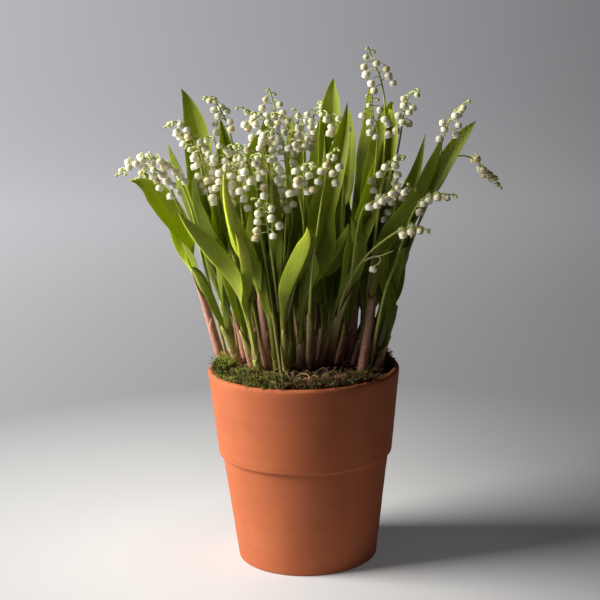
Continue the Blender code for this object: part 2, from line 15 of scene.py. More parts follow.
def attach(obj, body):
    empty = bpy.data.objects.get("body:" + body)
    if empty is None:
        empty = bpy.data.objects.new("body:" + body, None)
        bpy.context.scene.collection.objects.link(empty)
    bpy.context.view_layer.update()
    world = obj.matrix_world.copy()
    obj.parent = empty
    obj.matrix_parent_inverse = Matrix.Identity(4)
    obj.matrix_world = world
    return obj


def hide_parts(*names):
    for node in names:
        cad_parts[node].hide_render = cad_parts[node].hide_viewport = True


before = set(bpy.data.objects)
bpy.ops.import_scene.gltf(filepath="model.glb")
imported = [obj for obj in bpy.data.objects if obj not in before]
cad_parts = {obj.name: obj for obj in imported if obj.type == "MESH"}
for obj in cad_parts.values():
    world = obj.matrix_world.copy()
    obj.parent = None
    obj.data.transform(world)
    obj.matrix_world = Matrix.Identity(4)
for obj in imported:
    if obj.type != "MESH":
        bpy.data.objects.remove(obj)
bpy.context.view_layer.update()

MM = 0.001
BODY = "root"
FULL_TURN = 2 * math.pi
ANY_TURN = (0, 6.28)

# Camera, fitted to the photo's rim, collar and foot
LENS = 94.6
SENSOR = 36.0
CAMERA_PLACE = (-1.7, -1199.6, 464.4)
CAMERA_PITCH = math.radians(12.13)
CAMERA_ROLL = math.radians(1.32)
CAMERA_REACH_M = 60.0

# Light and floor
KEY_PLACE = (-1600.0, -190.0, 1060.0)
KEY_AIM = (0.0, 0.0, 220.0)
KEY_SIZE = 1050.0
KEY_POWER = 96.0
KEY_COLOUR = (1.0, 0.955, 0.88)
FILL_STRENGTH = 0.035
FILL_COLOUR = (0.86, 0.92, 1.0)
FLOOR_RINGS = (300.0, 900.0, 2500.0, 45000.0)
FLOOR_SIDES = 96
FLOOR_NEAR_COLOUR = (0.57, 0.585, 0.61)
FLOOR_FAR_COLOUR = (0.22, 0.23, 0.25)
# Painted shade: the floor darkens towards the right, from FLOOR_SHADE_LEFT to FLOOR_SHADE_RIGHT, as the light falls
# off
FLOOR_RIGHT_SHADE_COLOUR = (0.21, 0.215, 0.23)
FLOOR_SHADE_LEFT = -60.0
FLOOR_SHADE_RIGHT = 420.0
FLOOR_NEAR_RADIUS = 150.0
FLOOR_FAR_RADIUS = 520.0
# Painted light: the floor glows, lighter on the left and darker on the right, and more the farther back it lies
FAR_LEFT_GLOW = (0.47, 0.465, 0.49)
FAR_RIGHT_GLOW = (0.19, 0.185, 0.195)
GLOW_START = -200.0
GLOW_FULL = 2000.0
GLOW_FAN = 0.19
GLOW_FAN_BACK = 1200.0
# Painted light: a faint glow that lightens the pot's cast shadow on the floor
SHADOW_GLOW_PLACE = (190.0, -90.0, 0.0)
SHADOW_GLOW_RADIUS = 330.0
SHADOW_GLOW = 0.35

# Clay pot
RIM_RADIUS = 75.0
RIM_INNER_RADIUS = 69.5
POT_HEIGHT = 154.0
LIP_ROUND = 2.75
COLLAR_Z = 86.0
COLLAR_RADIUS = 68.2
COLLAR_ROUND = 0.9
BODY_TOP_RADIUS = 65.5
COLLAR_CREASE = ((-0.15, 2.6), (0.0, 1.4), (0.5, 0.5), (1.3, 0.1))    # out from the body's top, under the collar
BASE_RADIUS = 55.0
FOOT_ROUND = 1.8
FLOOR_THICKNESS = 7.0
INNER_FLOOR_RADIUS = 49.5
INNER_FILLET = 3.0
POT_SIDES = 192
POT_STRAIGHTS = (6, 16, 14, 20, 6)      # steps of each straight run between the rounded corners
POT_WOBBLE = 0.22
POT_WOBBLE_ROUND = 2.2
POT_WOBBLE_RISE = 38.0
TURNING_MARK = 0.07
TURNING_MARKS_PER_MM = 0.9
STEADY_RADIUS = 20.0
POT_CREASE = 50
DRAINS = 3
DRAIN_CIRCLE_RADIUS = 22.0
DRAIN_RADIUS = 5.0
DRAIN_SIDES = 32
DRAIN_CUT = (-4.0, 12.0)

# Soil
SOIL_EDGE_Z = 150.0
SOIL_TOP_Z = 156.0
SOIL_FLAT_RADIUS = 50.0
SOIL_CROWN_RADIUS = 34.0
SOIL_CLEARANCE = 0.35
SOIL_FLOOR_GAP = 0.3
SOIL_BEVEL = 3.0
SOIL_SMOOTH_RADIUS = 6.0
SOIL_SIDES = 120
SOIL_RINGS = 34
SOIL_CREASE = 60
CLOD_HEIGHT = 1.5
CLOD_SIZE = 9.0
CLOD_LAYER = 3.7
CLOD_GRAIN = (1.0, 2.2, 4)              # dimension, lacunarity and octaves
LITTER_RADIUS = 67.0
CRUMBS = 1500
CRUMB_SIZES = (0.7, 0.9, 1.2, 1.6, 2.2)
CRUMB_FLATNESS = (0.4, 0.9)
CRUMB_LENGTHS = (0.7, 1.5)
CRUMB_WIDTHS = (0.5, 1.0)
CRUMB_BULGES = (0.75, 1.2)
CRUMB_SIT = 0.3
CRUMB_TINTS = ((0.02, 0.012, 0.008), (0.20, 0.085, 0.04))
FLAKES = 90
FLAKE_SIZES = (1.4, 3.0)
FLAKE_X = (-6, 40)
FLAKE_Y = (-64, -38)
FLAKE_FLATNESS = (0.2, 0.5)
FLAKE_TINTS = ((0.10, 0.04, 0.02), (0.34, 0.14, 0.06))
STRAWS = 110
STRAW_TURNS = (-0.8, 0.8)
STRAW_LENGTHS = (6, 16)
STRAW_ARCHES = (0.5, 3.5)
STRAW_RADII = (0.18, 0.38)
STRAW_SIDES = 5
STRAW_TINTS = ((0.16, 0.08, 0.04), (0.38, 0.25, 0.11))
GOLDEN = (1 + math.sqrt(5)) / 2
LUMP_CORNERS = ((0, 1, GOLDEN), (0, -1, GOLDEN), (0, 1, -GOLDEN), (0, -1, -GOLDEN), (1, GOLDEN, 0), (-1, GOLDEN, 0),
                (1, -GOLDEN, 0), (-1, -GOLDEN, 0), (GOLDEN, 0, 1), (-GOLDEN, 0, 1), (GOLDEN, 0, -1), (-GOLDEN, 0, -1))
LUMP_FACES = ((0, 1, 8), (0, 8, 4), (0, 4, 5), (0, 5, 9), (0, 9, 1), (1, 6, 8), (8, 6, 10), (8, 10, 4), (4, 10, 2),
              (4, 2, 5), (5, 2, 11), (5, 11, 9), (9, 11, 7), (9, 7, 1), (1, 7, 6), (3, 6, 7), (3, 7, 11), (3, 11, 2),
              (3, 2, 10), (3, 10, 6))

# Each flower stalk: points it passes above the soil, and the way its bells hang in degrees
STALKS = {
    1: (((-50, -20, 240), (-66, -24, 295), (-71, -28, 318), (-74, -33, 331), (-79, -38, 334)), 250),
    2: (((-45, -24, 250), (-57, -32, 285), (-58, -37, 302), (-53, -44, 317), (-46, -52, 322)), 270),
    3: (((-26, -34, 235), (-31, -42, 275), (-32, -47, 306), (-37, -54, 324), (-43, -62, 328)), 280),
    4: (((7, -42, 230), (13, -50, 274), (18, -56, 304), (22, -61, 325), (29, -66, 333)), 300),
    5: (((31, -30, 215), (47, -34, 244), (66, -40, 262), (80, -44, 269), (96, -50, 268)), 290),
    6: (((62, -26, 213), (72, -24, 240), (83, -22, 272), (93, -22, 287), (104, -25, 291), (118, -28, 290)), 270),
    7: (((69, 2, 205), (87, 10, 250), (104, 22, 292), (112, 26, 308), (126, 28, 313), (138, 30, 309),
         (148, 32, 300), (158, 34, 287)), 300),
    8: (((-58, -6, 240), (-72, -8, 300), (-78, -11, 331), (-84, -14, 342), (-92, -20, 349), (-98, -24, 346)), 270),
    9: (((-70, -8, 240), (-88, -30, 280), (-97, -38, 305), (-103, -44, 315), (-110, -50, 318),
         (-117, -56, 312)), 290),
    10: (((-75, -6, 240), (-82, -12, 279), (-89, -16, 302), (-97, -22, 317), (-108, -28, 323),
          (-121, -34, 322), (-133, -40, 313)), 270),
    11: (((-25, 10, 250), (-25, 12, 314), (-29, 10, 338), (-35, 8, 351), (-43, 6, 357)), 240),
    12: (((-3, 6, 250), (-6, -4, 317), (-7, -8, 337), (-11, -13, 350), (-18, -18, 354)), 270),
    13: (((32, 14, 260), (34, 2, 326), (31, -4, 342), (25, -10, 351), (17, -16, 354)), 270),
    14: (((54, 14, 250), (66, 18, 315), (67, 18, 354), (64, 16, 374), (59, 13, 387), (54, 10, 400)), 280),
    15: (((66, 34, 260), (79, 40, 321), (83, 44, 344), (87, 48, 357), (94, 53, 364)), 320),
    16: (((-44, 32, 260), (-51, 32, 319), (-54, 34, 337), (-60, 38, 351), (-66, 42, 360), (-74, 46, 362)), 250),
    17: (((-11, 31, 250), (-10, 22, 314), (-15, 22, 338), (-18, 23, 355), (-22, 24, 369)), 280),
    18: (((14, 50, 250), (11, 48, 307), (11, 51, 332), (14, 55, 349), (22, 60, 356)), 300),
}

# Second flower stalks that some shoots carry: points from the place where they leave the leaf stems
SECOND_STALKS = {
    "a": (((-12, -32, 198), (2, -44, 262), (-1, -50, 300), (-1, -54, 314), (4, -58, 320), (11, -64, 318)), 290),
    "b": (((-16, -30, 200), (-11, -20, 269), (-9, -24, 289), (-7, -28, 303), (-11, -34, 311)), 250),
    "c": (((66, 18, 205), (105, 4, 295), (109, 0, 326), (114, -2, 342), (119, -4, 351), (130, -8, 360)), 300),
    "d": (((30, -20, 212), (36, -30, 222), (42, -36, 265), (47, -42, 284), (54, -46, 289), (64, -50, 295),
           (78, -56, 307)), 280),
    "e": (((50, -16, 212), (61, -20, 290), (65, -24, 309), (71, -28, 319), (79, -32, 320)), 270),
    "f": (((46, 4, 206), (59, -16, 327), (56, -20, 350), (55, -24, 367)), 280),
    "g": (((-16, -26, 205), (-20, -38, 285), (-22, -44, 314), (-27, -50, 326), (-33, -54, 327)), 300),
    "h": (((-18, -32, 205), (-24, -48, 270), (-27, -54, 290), (-33, -58, 296)), 260),
    "i": (((-52, -8, 208), (-68, -22, 300), (-73, -26, 324), (-78, -30, 331)), 290),
    "j": (((-8, -8, 210), (-10, -16, 310), (-14, -20, 336), (-21, -24, 344)), 290),
    "k": (((2, 14, 210), (4, 8, 320), (3, 6, 346), (-3, 4, 355)), 300),
    "l": (((-36, -20, 212), (-44, -36, 285), (-44, -42, 312), (-50, -46, 320)), 250),
    "m": (((50, -12, 210), (70, -6, 270), (80, -8, 292), (90, -12, 294)), 290),
    "n": (((-50, -14, 208), (-58, -26, 290), (-60, -32, 322), (-62, -36, 336), (-68, -42, 340)), 280),
    "o": (((-20, -20, 205), (-34, -30, 290), (-38, -34, 318), (-42, -40, 332), (-49, -46, 334)), 280),
    "p": (((-12, -8, 206), (-20, -16, 300), (-22, -20, 338), (-26, -24, 352), (-33, -28, 356)), 270),
    "q": (((-30, 54, 200), (-38, 66, 280), (-42, 72, 308), (-50, 78, 318)), 110),
    "r": (((22, 60, 200), (28, 74, 276), (32, 80, 300), (40, 86, 310)), 80),
}

# Flower stalks, bells and buds
STALK_RADII = (1.3, 0.55)
SECOND_STALK_RADII = (1.1, 0.5)
STALK_SIDES = 10
PITCH = 3.2
BUD_PITCH = 2.8
BUDS = 2
TIP_MARGIN = 0.6
BELL_RADIUS = 3.15
BELL_HEIGHT = 5.5
BELL_SIDES = 18
BELL_LOBES = 6
BELL_WALL = 0.28
BELL_SECTION = ((0.0, 0.0), (0.33, 0.02), (0.64, 0.09), (0.87, 0.22), (0.98, 0.37), (1.0, 0.51), (0.95, 0.65),
                (0.85, 0.78))           # share of the radius and of the height, from the top down
BELL_MOUTH_RADIUS = 0.74
BELL_MOUTH_GAIN = 0.06
BELL_NOTCH_DROP = 0.87
BELL_RIB = 0.025
BELL_LIP = (0.4, 0.75, 1.0)
BUD_SIDES = 12
BUD_RIB = 0.04
BUD_WIDTH = 0.86
BUD_LENGTH = 0.95
BUD_SECTION = np.array([0.0, 0.1, 0.28, 0.5, 0.7, 0.86, 0.96, 1.0])
PEDICEL_REACH = 7.4
PEDICEL_RADIUS = 0.34
PEDICEL_SIDES = 6
PEDICEL_SPREAD = (15, 110)
PEDICEL_SPREAD_STEP = 4
PEDICEL_REACHES = (0.75, 1.25)
BRACT_SECTION = ((0.0, 0.5), (0.35, 0.75), (0.7, 0.45), (1.0, 0.05))
BELL_CLEARANCE = 5.4
BELL_ATTEMPTS = 16
BELL_SIZE_AT_TIP = 0.56
BELL_SIZE_GAIN = 0.44
BELL_SIZES = (0.9, 1.06)
BELL_TILT = (-0.22, 0.22)
BELL_LEAN = (-0.05, 0.42)
BELL_OPENINGS = (0.75, 1.1)
BRACT_LENGTHS = (2.2, 3.6)
PITCH_SPREAD = (0.9, 1.15)
RACEME_LENGTH = 35.0
RACEME_LENGTHS = {5: 26.0, 10: 58.0, 9: 42.0, 7: 33.0, 1: 40.0, 2: 40.0, 3: 40.0}
USUAL_CREAM = 0.05
CREAM = {7: 0.55, 6: 0.25, 5: 0.25, 15: 0.15, 17: 0.25, 11: 0.2}
FADED_SHARE = 0.08
FADED = 0.75
CREAM_SPREAD = (0.4, 1.6)
STALK_TINT = np.array((0.42, 0.47, 0.08))
STALK_FOOT_TINT = np.array((0.36, 0.26, 0.12))
PETAL_TINT = np.array((0.99, 0.965, 0.86))
PETAL_TOP_TINT = np.array((0.74, 0.80, 0.48))
BUD_TINT = np.array((0.62, 0.66, 0.30))
CREAM_TINT = np.array((0.82, 0.72, 0.42))
BRACT_TINT = (0.62, 0.66, 0.40)
PAPERY_TINT = (0.70, 0.62, 0.40)
SIDE_PEDICEL_TINT = (0.70, 0.66, 0.42)
SIDE_BRANCH = ((47.5, -34.3, 243.0), (53.0, -37.0, 246.0), (60.0, -38.5, 247.5), (69.0, -41.0, 251.5))
SIDE_PEDICEL = ((55.0, -37.6, 246.4), (58.5, -39.5, 246.5), (58.5, -40.5, 242.5), (54.5, -40.5, 240.0))
SIDE_BELL_STALK = 5

# Leaves
RING_POINTS = 6
LOFT_RINGS = 15
CAD_SHOULDER_SHARE = 0.16
LEAF_ROWS = 46
LEAF_COLUMNS = 15
FOLD_HALF = 0.045
LEAF_THICKNESS = 0.5
TIP_THICKNESS = 0.4
STEM_SCALE = 0.82
STEM_SINK = 3.0
NECK_ROW = 1
LOW_BLADE_END = 0.6
LOW_BLADE_GAIN = 0.26
BLADE_SCALE = 0.80
FOLD_GAINS = (1.5, 2.4)
FOLD_FADE = (1.15, 0.3)                 # share of the gain at the foot, and how much of it the tip loses
FOLD_SECTION = (0.8, 1.08, 0.2)         # near straight part of each half with its power, and rounded part
TWIST = math.radians(12)
TWIST_TURNS = 4.2
TIP_SLOPE = 0.40
TIP_ROUND_SHARE = 0.04
ROW_CROWDING = 1.25
BLADE_BAND = (0.02, 0.3)
SWAY = 1.1
SWAY_TURNS = 5.0
EDGE_WAVE = 0.10
EDGE_WAVE_LENGTHS = ((11.0, 6.3), (10.1, 5.7))      # long and short wave of each edge
EDGE_WAVE_SHORT = 0.6
EDGE_WAVE_POWER = 2.5
PLEAT = 0.14
PLEATS = 7
LIGHT_AZIMUTH = -128.0
LIGHT_TURN = 0.5
LIGHT_TURN_LIMITS = (-28.0, 36.0)
FOOT_TINT = np.array((0.44, 0.24, 0.17))
STEM_TINT = np.array((0.40, 0.43, 0.085))
DEEP_TINT = np.array((0.130, 0.185, 0.010))
BRIGHT_TINT = np.array((0.43, 0.49, 0.026))
UNDERSIDE_TINT = np.array((0.20, 0.27, 0.05))
PALE_TINT = np.array((0.50, 0.46, 0.07))
# Where along the leaf, or across it, one colour gives way to the next
STEM_END = (0.0, 0.34)
FOOT_END = (-0.42, -0.12)
PALE_BAND = (0.3, 1.0)
TINTED_BLADE = (0.0, 0.3)
EDGE_BAND = (0.78, 0.98)
RIB_BAND = (0.01, 0.06)
EDGE_PAINT = (1.6, (0.05, 0.05, 0.008), 0.8)        # gain, lift and share
RIB_PAINT = (1.4, (0.04, 0.04, 0.006), 0.7)
UNDERSIDE_SHARE = 0.35
# How sharply the painted light on one half of a blade gives way to the painted shade on the other
HALF_SHARPNESS = 18
MAIN_VEINS = 8
FINE_VEINS = 25
VEIN_TINT = (0.48, 0.58, 0.12)
THROUGH_TINT = (0.68, 0.80, 0.03)
LEAF_THROUGH = 0.38

# Colour of each leaf: greenness from deep (0) to bright (1), how pale its tip is, painted light that lightens a leaf
# facing the light and darkens one in shade, and painted light that makes one of its two halves lighter than the other
LEAF_TONES = {
    (1, "outer"): (0.78, 0.15, 1.50, 0.32), (1, "inner"): (1.00, 0.50, 1.55, 0.25),
    (2, "outer"): (0.90, 0.45, 1.80, 0.30), (2, "inner"): (0.65, 0.15, 1.35, 0.20),
    (3, "outer"): (0.62, 0.15, 1.50, 0.50), (3, "inner"): (0.60, 0.05, 1.25, 0.20),
    (4, "outer"): (0.40, 0.10, 1.10, 0.28), (4, "inner"): (0.55, 0.05, 1.50, 0.30),
    (5, "outer"): (0.60, 0.10, 1.60, 0.34), (5, "inner"): (0.60, 0.10, 1.40, 0.38),
    (6, "outer"): (0.60, 0.15, 1.00, 0.32), (6, "inner"): (0.45, 0.05, 0.85, 0.20),
    (7, "outer"): (0.30, 0.10, 0.78, 0.22), (7, "inner"): (0.20, 0.00, 0.70, 0.15),
    (8, "outer"): (0.42, 0.00, 1.40, 0.34), (8, "inner"): (0.50, 0.00, 1.20, 0.20),
    (9, "outer"): (0.50, 0.00, 0.85, 0.22), (9, "inner"): (0.65, 0.10, 1.25, 0.25),
    (10, "outer"): (0.80, 0.20, 1.35, 0.25), (10, "inner"): (0.75, 0.15, 1.35, 0.25),
}
DEFAULT_TONE = (0.50, 0.06, 1.08, 0.22)
# Small leaves inside the clump: deep greens that are partly painted shade, pale tips, painted shade that darkens
# them, and painted light on one half
SMALL_LEAF_TONES = (0.2, 0.6)
SMALL_LEAF_PALENESS = (0.0, 0.15)
SMALL_LEAF_PAINTED_SHADES = (0.75, 1.0)
SMALL_LEAF_PAINTED_HALVES = 0.2

# Small shoots among the others: place on the soil, way they lean in degrees, reach, rise and leaf width
SMALL_SHOOTS = (
    (-20, -22, 245, 16, 86, 12), (-8, -8, 265, 10, 112, 14), (28, 0, 320, 30, 92, 14),
    (50, 2, 340, 36, 104, 15), (34, 24, 20, 28, 120, 16), (12, 30, 90, 12, 122, 16),
    (-12, 22, 120, 14, 118, 15), (-36, 14, 170, 22, 108, 15), (-48, -14, 205, 26, 84, 13),
    (-22, 44, 120, 20, 108, 16), (2, 55, 85, 28, 98, 18), (34, 44, 60, 28, 104, 18),
    (-50, 30, 150, 30, 98, 16), (57, -6, 330, 20, 84, 13), (14, 4, 290, 14, 104, 13),
    (-30, -4, 240, 14, 98, 13), (60, 22, 20, 14, 112, 16), (24, 8, 0, 16, 110, 16), (-2, 28, 90, 8, 124, 16),
    (40, -6, 350, 22, 92, 15), (-40, 6, 200, 18, 100, 14), (22, 36, 70, 18, 120, 17), (-16, 8, 180, 8, 120, 15),
    (48, 16, 10, 28, 118, 16), (-30, 28, 140, 18, 116, 16), (6, -14, 280, 12, 92, 12), (-6, 44, 95, 18, 116, 17),
    (42, 34, 40, 26, 112, 16), (30, 54, 60, 30, 92, 17), (-38, -20, 235, 20, 80, 12),
    (41, 8, 340, 7, 66, 13), (56, 9, 350, 7, 68, 12), (19, 10, 90, 4, 80, 12),
)
SMALL_NECK_RISE = 27.0
SMALL_NECK_LEAN = 0.12
SMALL_BLADE_STATIONS = np.array([0.0, 0.08, 0.16, 0.26, 0.36, 0.46, 0.56, 0.66, 0.76, 0.85, 0.92, 0.97])
SMALL_STEM_WIDTH = 5.4
SMALL_SPREAD = (-35, 35)
SMALL_PARTING = 0.5
SMALL_REACHES = {1: 0.8, -1: 1.1}
SMALL_SECOND_RISE = (0.7, 0.9)
SMALL_SWING = (-50, 50)
SMALL_WIDTHS = (0.85, 1.05)
SMALL_WIDTH_POWER = 1.4
SMALL_WIDTH_SCALE = 0.204
SMALL_CUP = 0.24

# Sheaths at the foot of the shoots
SHEATH_SIDES = 16
SHEATH_ROWS = 14
SHEATH_SINK = 4.0
SHEATH_WALL = 0.3
SHEATH_RADII = (3.15, 3.6)
SHEATH_REACHES = (0.45, 0.95)
SHEATH_POINTS = (10, 24)
LOW_SHEATH_GAP = 0.32
LOW_SHEATH_REACHES = (0.25, 0.5)
LOW_SHEATH_POINTS = (6, 16)
SHEATH_LOW_TINTS = ((0.42, 0.20, 0.15), (0.50, 0.235, 0.175), (0.33, 0.16, 0.12), (0.45, 0.26, 0.16))
SHEATH_HIGH_TINTS = ((0.50, 0.26, 0.18), (0.40, 0.38, 0.11), (0.34, 0.37, 0.08), (0.50, 0.37, 0.19))
GREEN_SHOOTS = (1, 3, 12, 19, 20)
PINK_SHOOTS = (10, 8, 2, 6, 14)
# Sheaths round flower stalks: length, radius, low and high colour, length of the point, its lean and its side
STALK_SHEATHS = {
    5: (44.0, 2.9, (0.30, 0.15, 0.09), (0.40, 0.34, 0.13), 26.0, 2.6, 200),
    4: (34.0, 2.2, (0.42, 0.22, 0.16), (0.42, 0.40, 0.14), 14.0, 0.4, 60),
    13: (30.0, 2.2, (0.40, 0.22, 0.16), (0.40, 0.38, 0.14), 12.0, 0.3, 120),
}

# Each moss clump: middle azimuth and half sweep in degrees, radius of its middle line, width, height, strands
MOSS_CLUMPS = {
    "moss_front_left": (233, 27, 60.0, 16.5, 11.0, 2700),
    "moss_front_right": (297, 29, 60.5, 15.0, 7.0, 1300),
    "moss_back_left": (128, 26, 61.5, 14.0, 10.0, 1400),
    "moss_back_right": (54, 13, 61.5, 13.0, 8.0, 900),
}
MOSS_PATCHES = {
    "moss_patch_left": (194, 17, 60.5, 15.0, 16.0, 1100),
    "moss_patch_right": (14, 15, 61.0, 13.0, 13.0, 500),
    "moss_patch_front": (266, 11, 61.5, 12.0, 7.0, 500),
}
MOSS_ROWS = 26
MOSS_COLUMNS = 12
MOSS_SQUASH = 0.9
MOSS_LUMP = 1.6
MOSS_LUMP_SIZE = 4.0
MOSS_SETTLE = 0.6
# Painted shade: the dark mound under the strands stands in for the shade inside the moss
MOSS_PAINTED_SHADE_TINT = (0.03, 0.034, 0.010)
TUFT_STRANDS = 36
TUFT_SPREAD = 2.4
TUFT_MIDDLE_DROP = 9.0
TUFT_LEAN = (-0.5, 0.5)
TUFT_SHADES = (0.8, 1.25)
TUFT_HEIGHTS = (2.5, 7.0)
SPILL_SHARE = 16
SPILL_SWEEP = (-0.9, 0.9)
SPILL_RADII = (66.0, 68.5)
SPILL_HEIGHTS = (154.6, 157.5)
SPILL_RISE = (0.0, 0.5)
SPILL_LENGTHS = (3.5, 8.5)
SPILL_TONES = (0.7, 1.3)
MOSS_LIMIT = 68.0
STRAND_SEGMENTS = 5
STRAND_STRAY = (-0.7, 0.7)
STRAND_LENGTHS = (0.5, 1.1)
LONG_STRAND_SHARE = 0.06
LONG_STRAND_GAIN = 6.0
STRAND_TONES = (0.7, 1.25)
STRAND_BEND = 0.26
STRAND_HALF_WIDTH = 0.17
STRAND_LEAF_HALF_WIDTH = 0.30
# Painted shade and light along each strand: darker at the root among the others, lighter at the tip
STRAND_PAINTED_SHADING = (0.3, 1.5)
MOSS_TINTS = ((0.09, 0.12, 0.012), (0.14, 0.17, 0.018), (0.24, 0.27, 0.03), (0.16, 0.11, 0.035),
              (0.055, 0.07, 0.010), (0.26, 0.20, 0.07))
DRY_CLUMPS = ("moss_front_right", "moss_patch_front")
DRY_TINTS = ((0.10, 0.055, 0.025), (0.15, 0.075, 0.032), (0.07, 0.08, 0.012), (0.20, 0.11, 0.045),
             (0.05, 0.035, 0.014), (0.11, 0.12, 0.018))

# Surfaces whose colour comes with their points: scale, detail and roughness of the grain, the shades it gives,
# depth and strength of its bump, roughness of the surface, and share of light that passes through
TINTED = {
    "crumb": (700.0, 4.0, 0.6, (0.72, 1.22), 0.4, 0.6, 0.9, 0.0),
    "moss": (400.0, 4.0, 0.6, (0.72, 1.22), 0.3, 0.6, 0.85, 0.25),
    "sheath": (320.0, 4.0, 0.6, (0.72, 1.22), 0.3, 0.6, 0.5, 0.15),
    "flower stem": (500.0, 4.0, 0.6, (0.72, 1.22), 0.2, 0.6, 0.5, 0.15),
    "petal": (500.0, 3.0, 0.5, (0.93, 1.05), 0.1, 0.3, 0.38, 0.38),
}


# Shapes


def placed(name, data):
    """A new object in the scene."""
    item = bpy.data.objects.new(name, data)
    bpy.context.scene.collection.objects.link(item)
    return item


def tube_faces(rows, columns, caps=True):
    """Quads between neighbouring rings of points, and a face over each end."""
    faces = []
    for low in range(0, (rows - 1) * columns, columns):
        for column in range(columns):
            after = (column + 1) % columns
            faces.append((low + column, low + after, low + columns + after, low + columns + column))
    last = (rows - 1) * columns
    ends = [tuple(range(columns - 1, -1, -1)), tuple(range(last, last + columns))]
    return faces + ends if caps else faces


class Skin:
    """Points, faces and point colours gathered for one piece, in millimetres."""

    def __init__(self):
        self.points = []
        self.faces = []
        self.tints = []
        self.uvs = []
        self.count = 0

    def add(self, points, faces, tints, uvs=None):
        """Adds points with their faces, colours and, where a pattern needs them, (across, along) places."""
        points = np.asarray(points, float).reshape(-1, 3)
        self.points.append(points)
        self.tints.append(np.broadcast_to(np.asarray(tints, float), points.shape))
        self.uvs.append(np.zeros((len(points), 2)) if uvs is None else uvs)
        self.faces += [tuple(index + self.count for index in face) for face in faces]
        self.count += len(points)

    def add_rings(self, rings, tints, uvs=None):
        """Adds a closed tube of rings of points; tints holds one colour, or one for each ring or each point."""
        rows, sides = np.shape(rings)[:2]
        if np.ndim(tints) == 2 and len(tints) == rows:
            tints = np.repeat(tints, sides, axis=0)
        self.add(rings, tube_faces(rows, sides), tints, uvs)

    def piece(self, name, material, slot, replaces=(), crease=None):
        """The finished piece, riding on the pot."""
        mesh = bpy.data.meshes.new(name)
        mesh.from_pydata((np.concatenate(self.points) * MM).tolist(), [], self.faces)
        tints = np.concatenate(self.tints)
        colours = mesh.attributes.new("tint", "FLOAT_COLOR", "POINT")
        colours.data.foreach_set("color", np.column_stack([tints, np.ones(len(tints))]).ravel())
        places = mesh.attributes.new("place", "FLOAT2", "POINT")
        places.data.foreach_set("vector", np.concatenate(self.uvs).ravel())
        mesh.materials.append(material)
        mesh.shade_smooth()
        if crease is not None:
            mesh.set_sharp_from_angle(angle=math.radians(crease))
        item = placed(name, mesh)
        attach(item, BODY)
        if replaces:
            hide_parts(*replaces)
        return item


def unit(vectors):
    vectors = np.asarray(vectors, float)
    return vectors / np.maximum(np.linalg.norm(vectors, axis=-1, keepdims=True), 1e-9)


def smooth_step(value, low, high):
    t = np.clip((value - low) / (high - low), 0.0, 1.0)
    return t * t * (3 - 2 * t)


def blended(low, high, share):
    """Colours between two, by share."""
    share = np.asarray(share, float)[..., None]
    return np.asarray(low, float) * (1 - share) + np.asarray(high, float) * share


def shaken(source, x, y, z):
    """A random vector, given the limits of each part."""
    return np.array([source.uniform(*x), source.uniform(*y), source.uniform(*z)])


def flat_way(angle):
    return np.array((math.cos(angle), math.sin(angle), 0.0))


def turns(sides):
    """Equal steps round a circle."""
    return np.arange(sides) * FULL_TURN / sides


def flat_ring(radius, sides, height):
    """Points round the pot's middle line."""
    angles = turns(sides)
    return np.stack([radius * np.cos(angles), radius * np.sin(angles), np.full(sides, float(height))], axis=1)


def crosswise(axis, guide):
    """Two directions at right angles to an axis."""
    side = unit(np.cross(axis, guide))
    return side, np.cross(axis, side)


def hoop(first, second, angles, radius):
    """Points round the origin in the plane of two crosswise directions."""
    return (first * np.cos(angles)[:, None] + second * np.sin(angles)[:, None]) * np.reshape(radius, (-1, 1))


def lengths_along(points):
    steps = np.linalg.norm(np.diff(points, axis=0), axis=1)
    return np.concatenate([[0.0], np.cumsum(steps)])


def sampled(places, knots, values):
    """Rows of values between knots, on straight lines."""
    return np.stack([np.interp(places, knots, column) for column in values.T], axis=-1)


def eased(knots, values, places):
    """Values at places on a smooth curve through the knots' values."""
    slopes = np.gradient(values, knots, axis=0)
    index = np.clip(np.searchsorted(knots, places, side="right") - 1, 0, len(knots) - 2)
    span = knots[index + 1] - knots[index]
    t = (places - knots[index]) / span
    if values.ndim > 1:
        t = t[:, None]
        span = span[:, None]
    return ((2 * t ** 3 - 3 * t ** 2 + 1) * values[index] + (t ** 3 - 2 * t ** 2 + t) * span * slopes[index]
            + (3 * t ** 2 - 2 * t ** 3) * values[index + 1] + (t ** 3 - t ** 2) * span * slopes[index + 1])


def catmull_rom(points, samples):
    """A smooth path through the points, with the given number of samples in each span."""
    points = np.asarray(points, float)
    padded = np.vstack([points[0] * 2 - points[1], points, points[-1] * 2 - points[-2]])
    t = np.arange(samples)[:, None] / samples
    path = []
    for a, b, c, d in zip(padded, padded[1:], padded[2:], padded[3:]):
        path.append((b * 2 + (c - a) * t + (a * 2 - b * 5 + c * 4 - d) * t ** 2
                     + (b * 3 - a - c * 3 + d) * t ** 3) / 2)
    return np.vstack(path + [points[-1]])


def carried_frames(path):
    """Direction and two crosswise vectors at each point of a path, turned as little as possible."""
    tangents = unit(np.gradient(path, axis=0))
    start = np.array([0.0, 1.0, 0.0]) if abs(tangents[0][1]) < 0.9 else np.array([1.0, 0.0, 0.0])
    side = unit(np.cross(tangents[0], start))
    sides = []
    for tangent in tangents:
        side = unit(side - tangent * side.dot(tangent))
        sides.append(side)
    sides = np.array(sides)
    return tangents, sides, np.cross(tangents, sides)


def tube_rings(path, radii, sides):
    _, firsts, seconds = carried_frames(path)
    radii = np.broadcast_to(radii, len(path))
    return [at + hoop(first, second, turns(sides), radius)
            for at, first, second, radius in zip(path, firsts, seconds, radii)]


# Materials


def rgba(colour):
    return (*colour, 1.0)


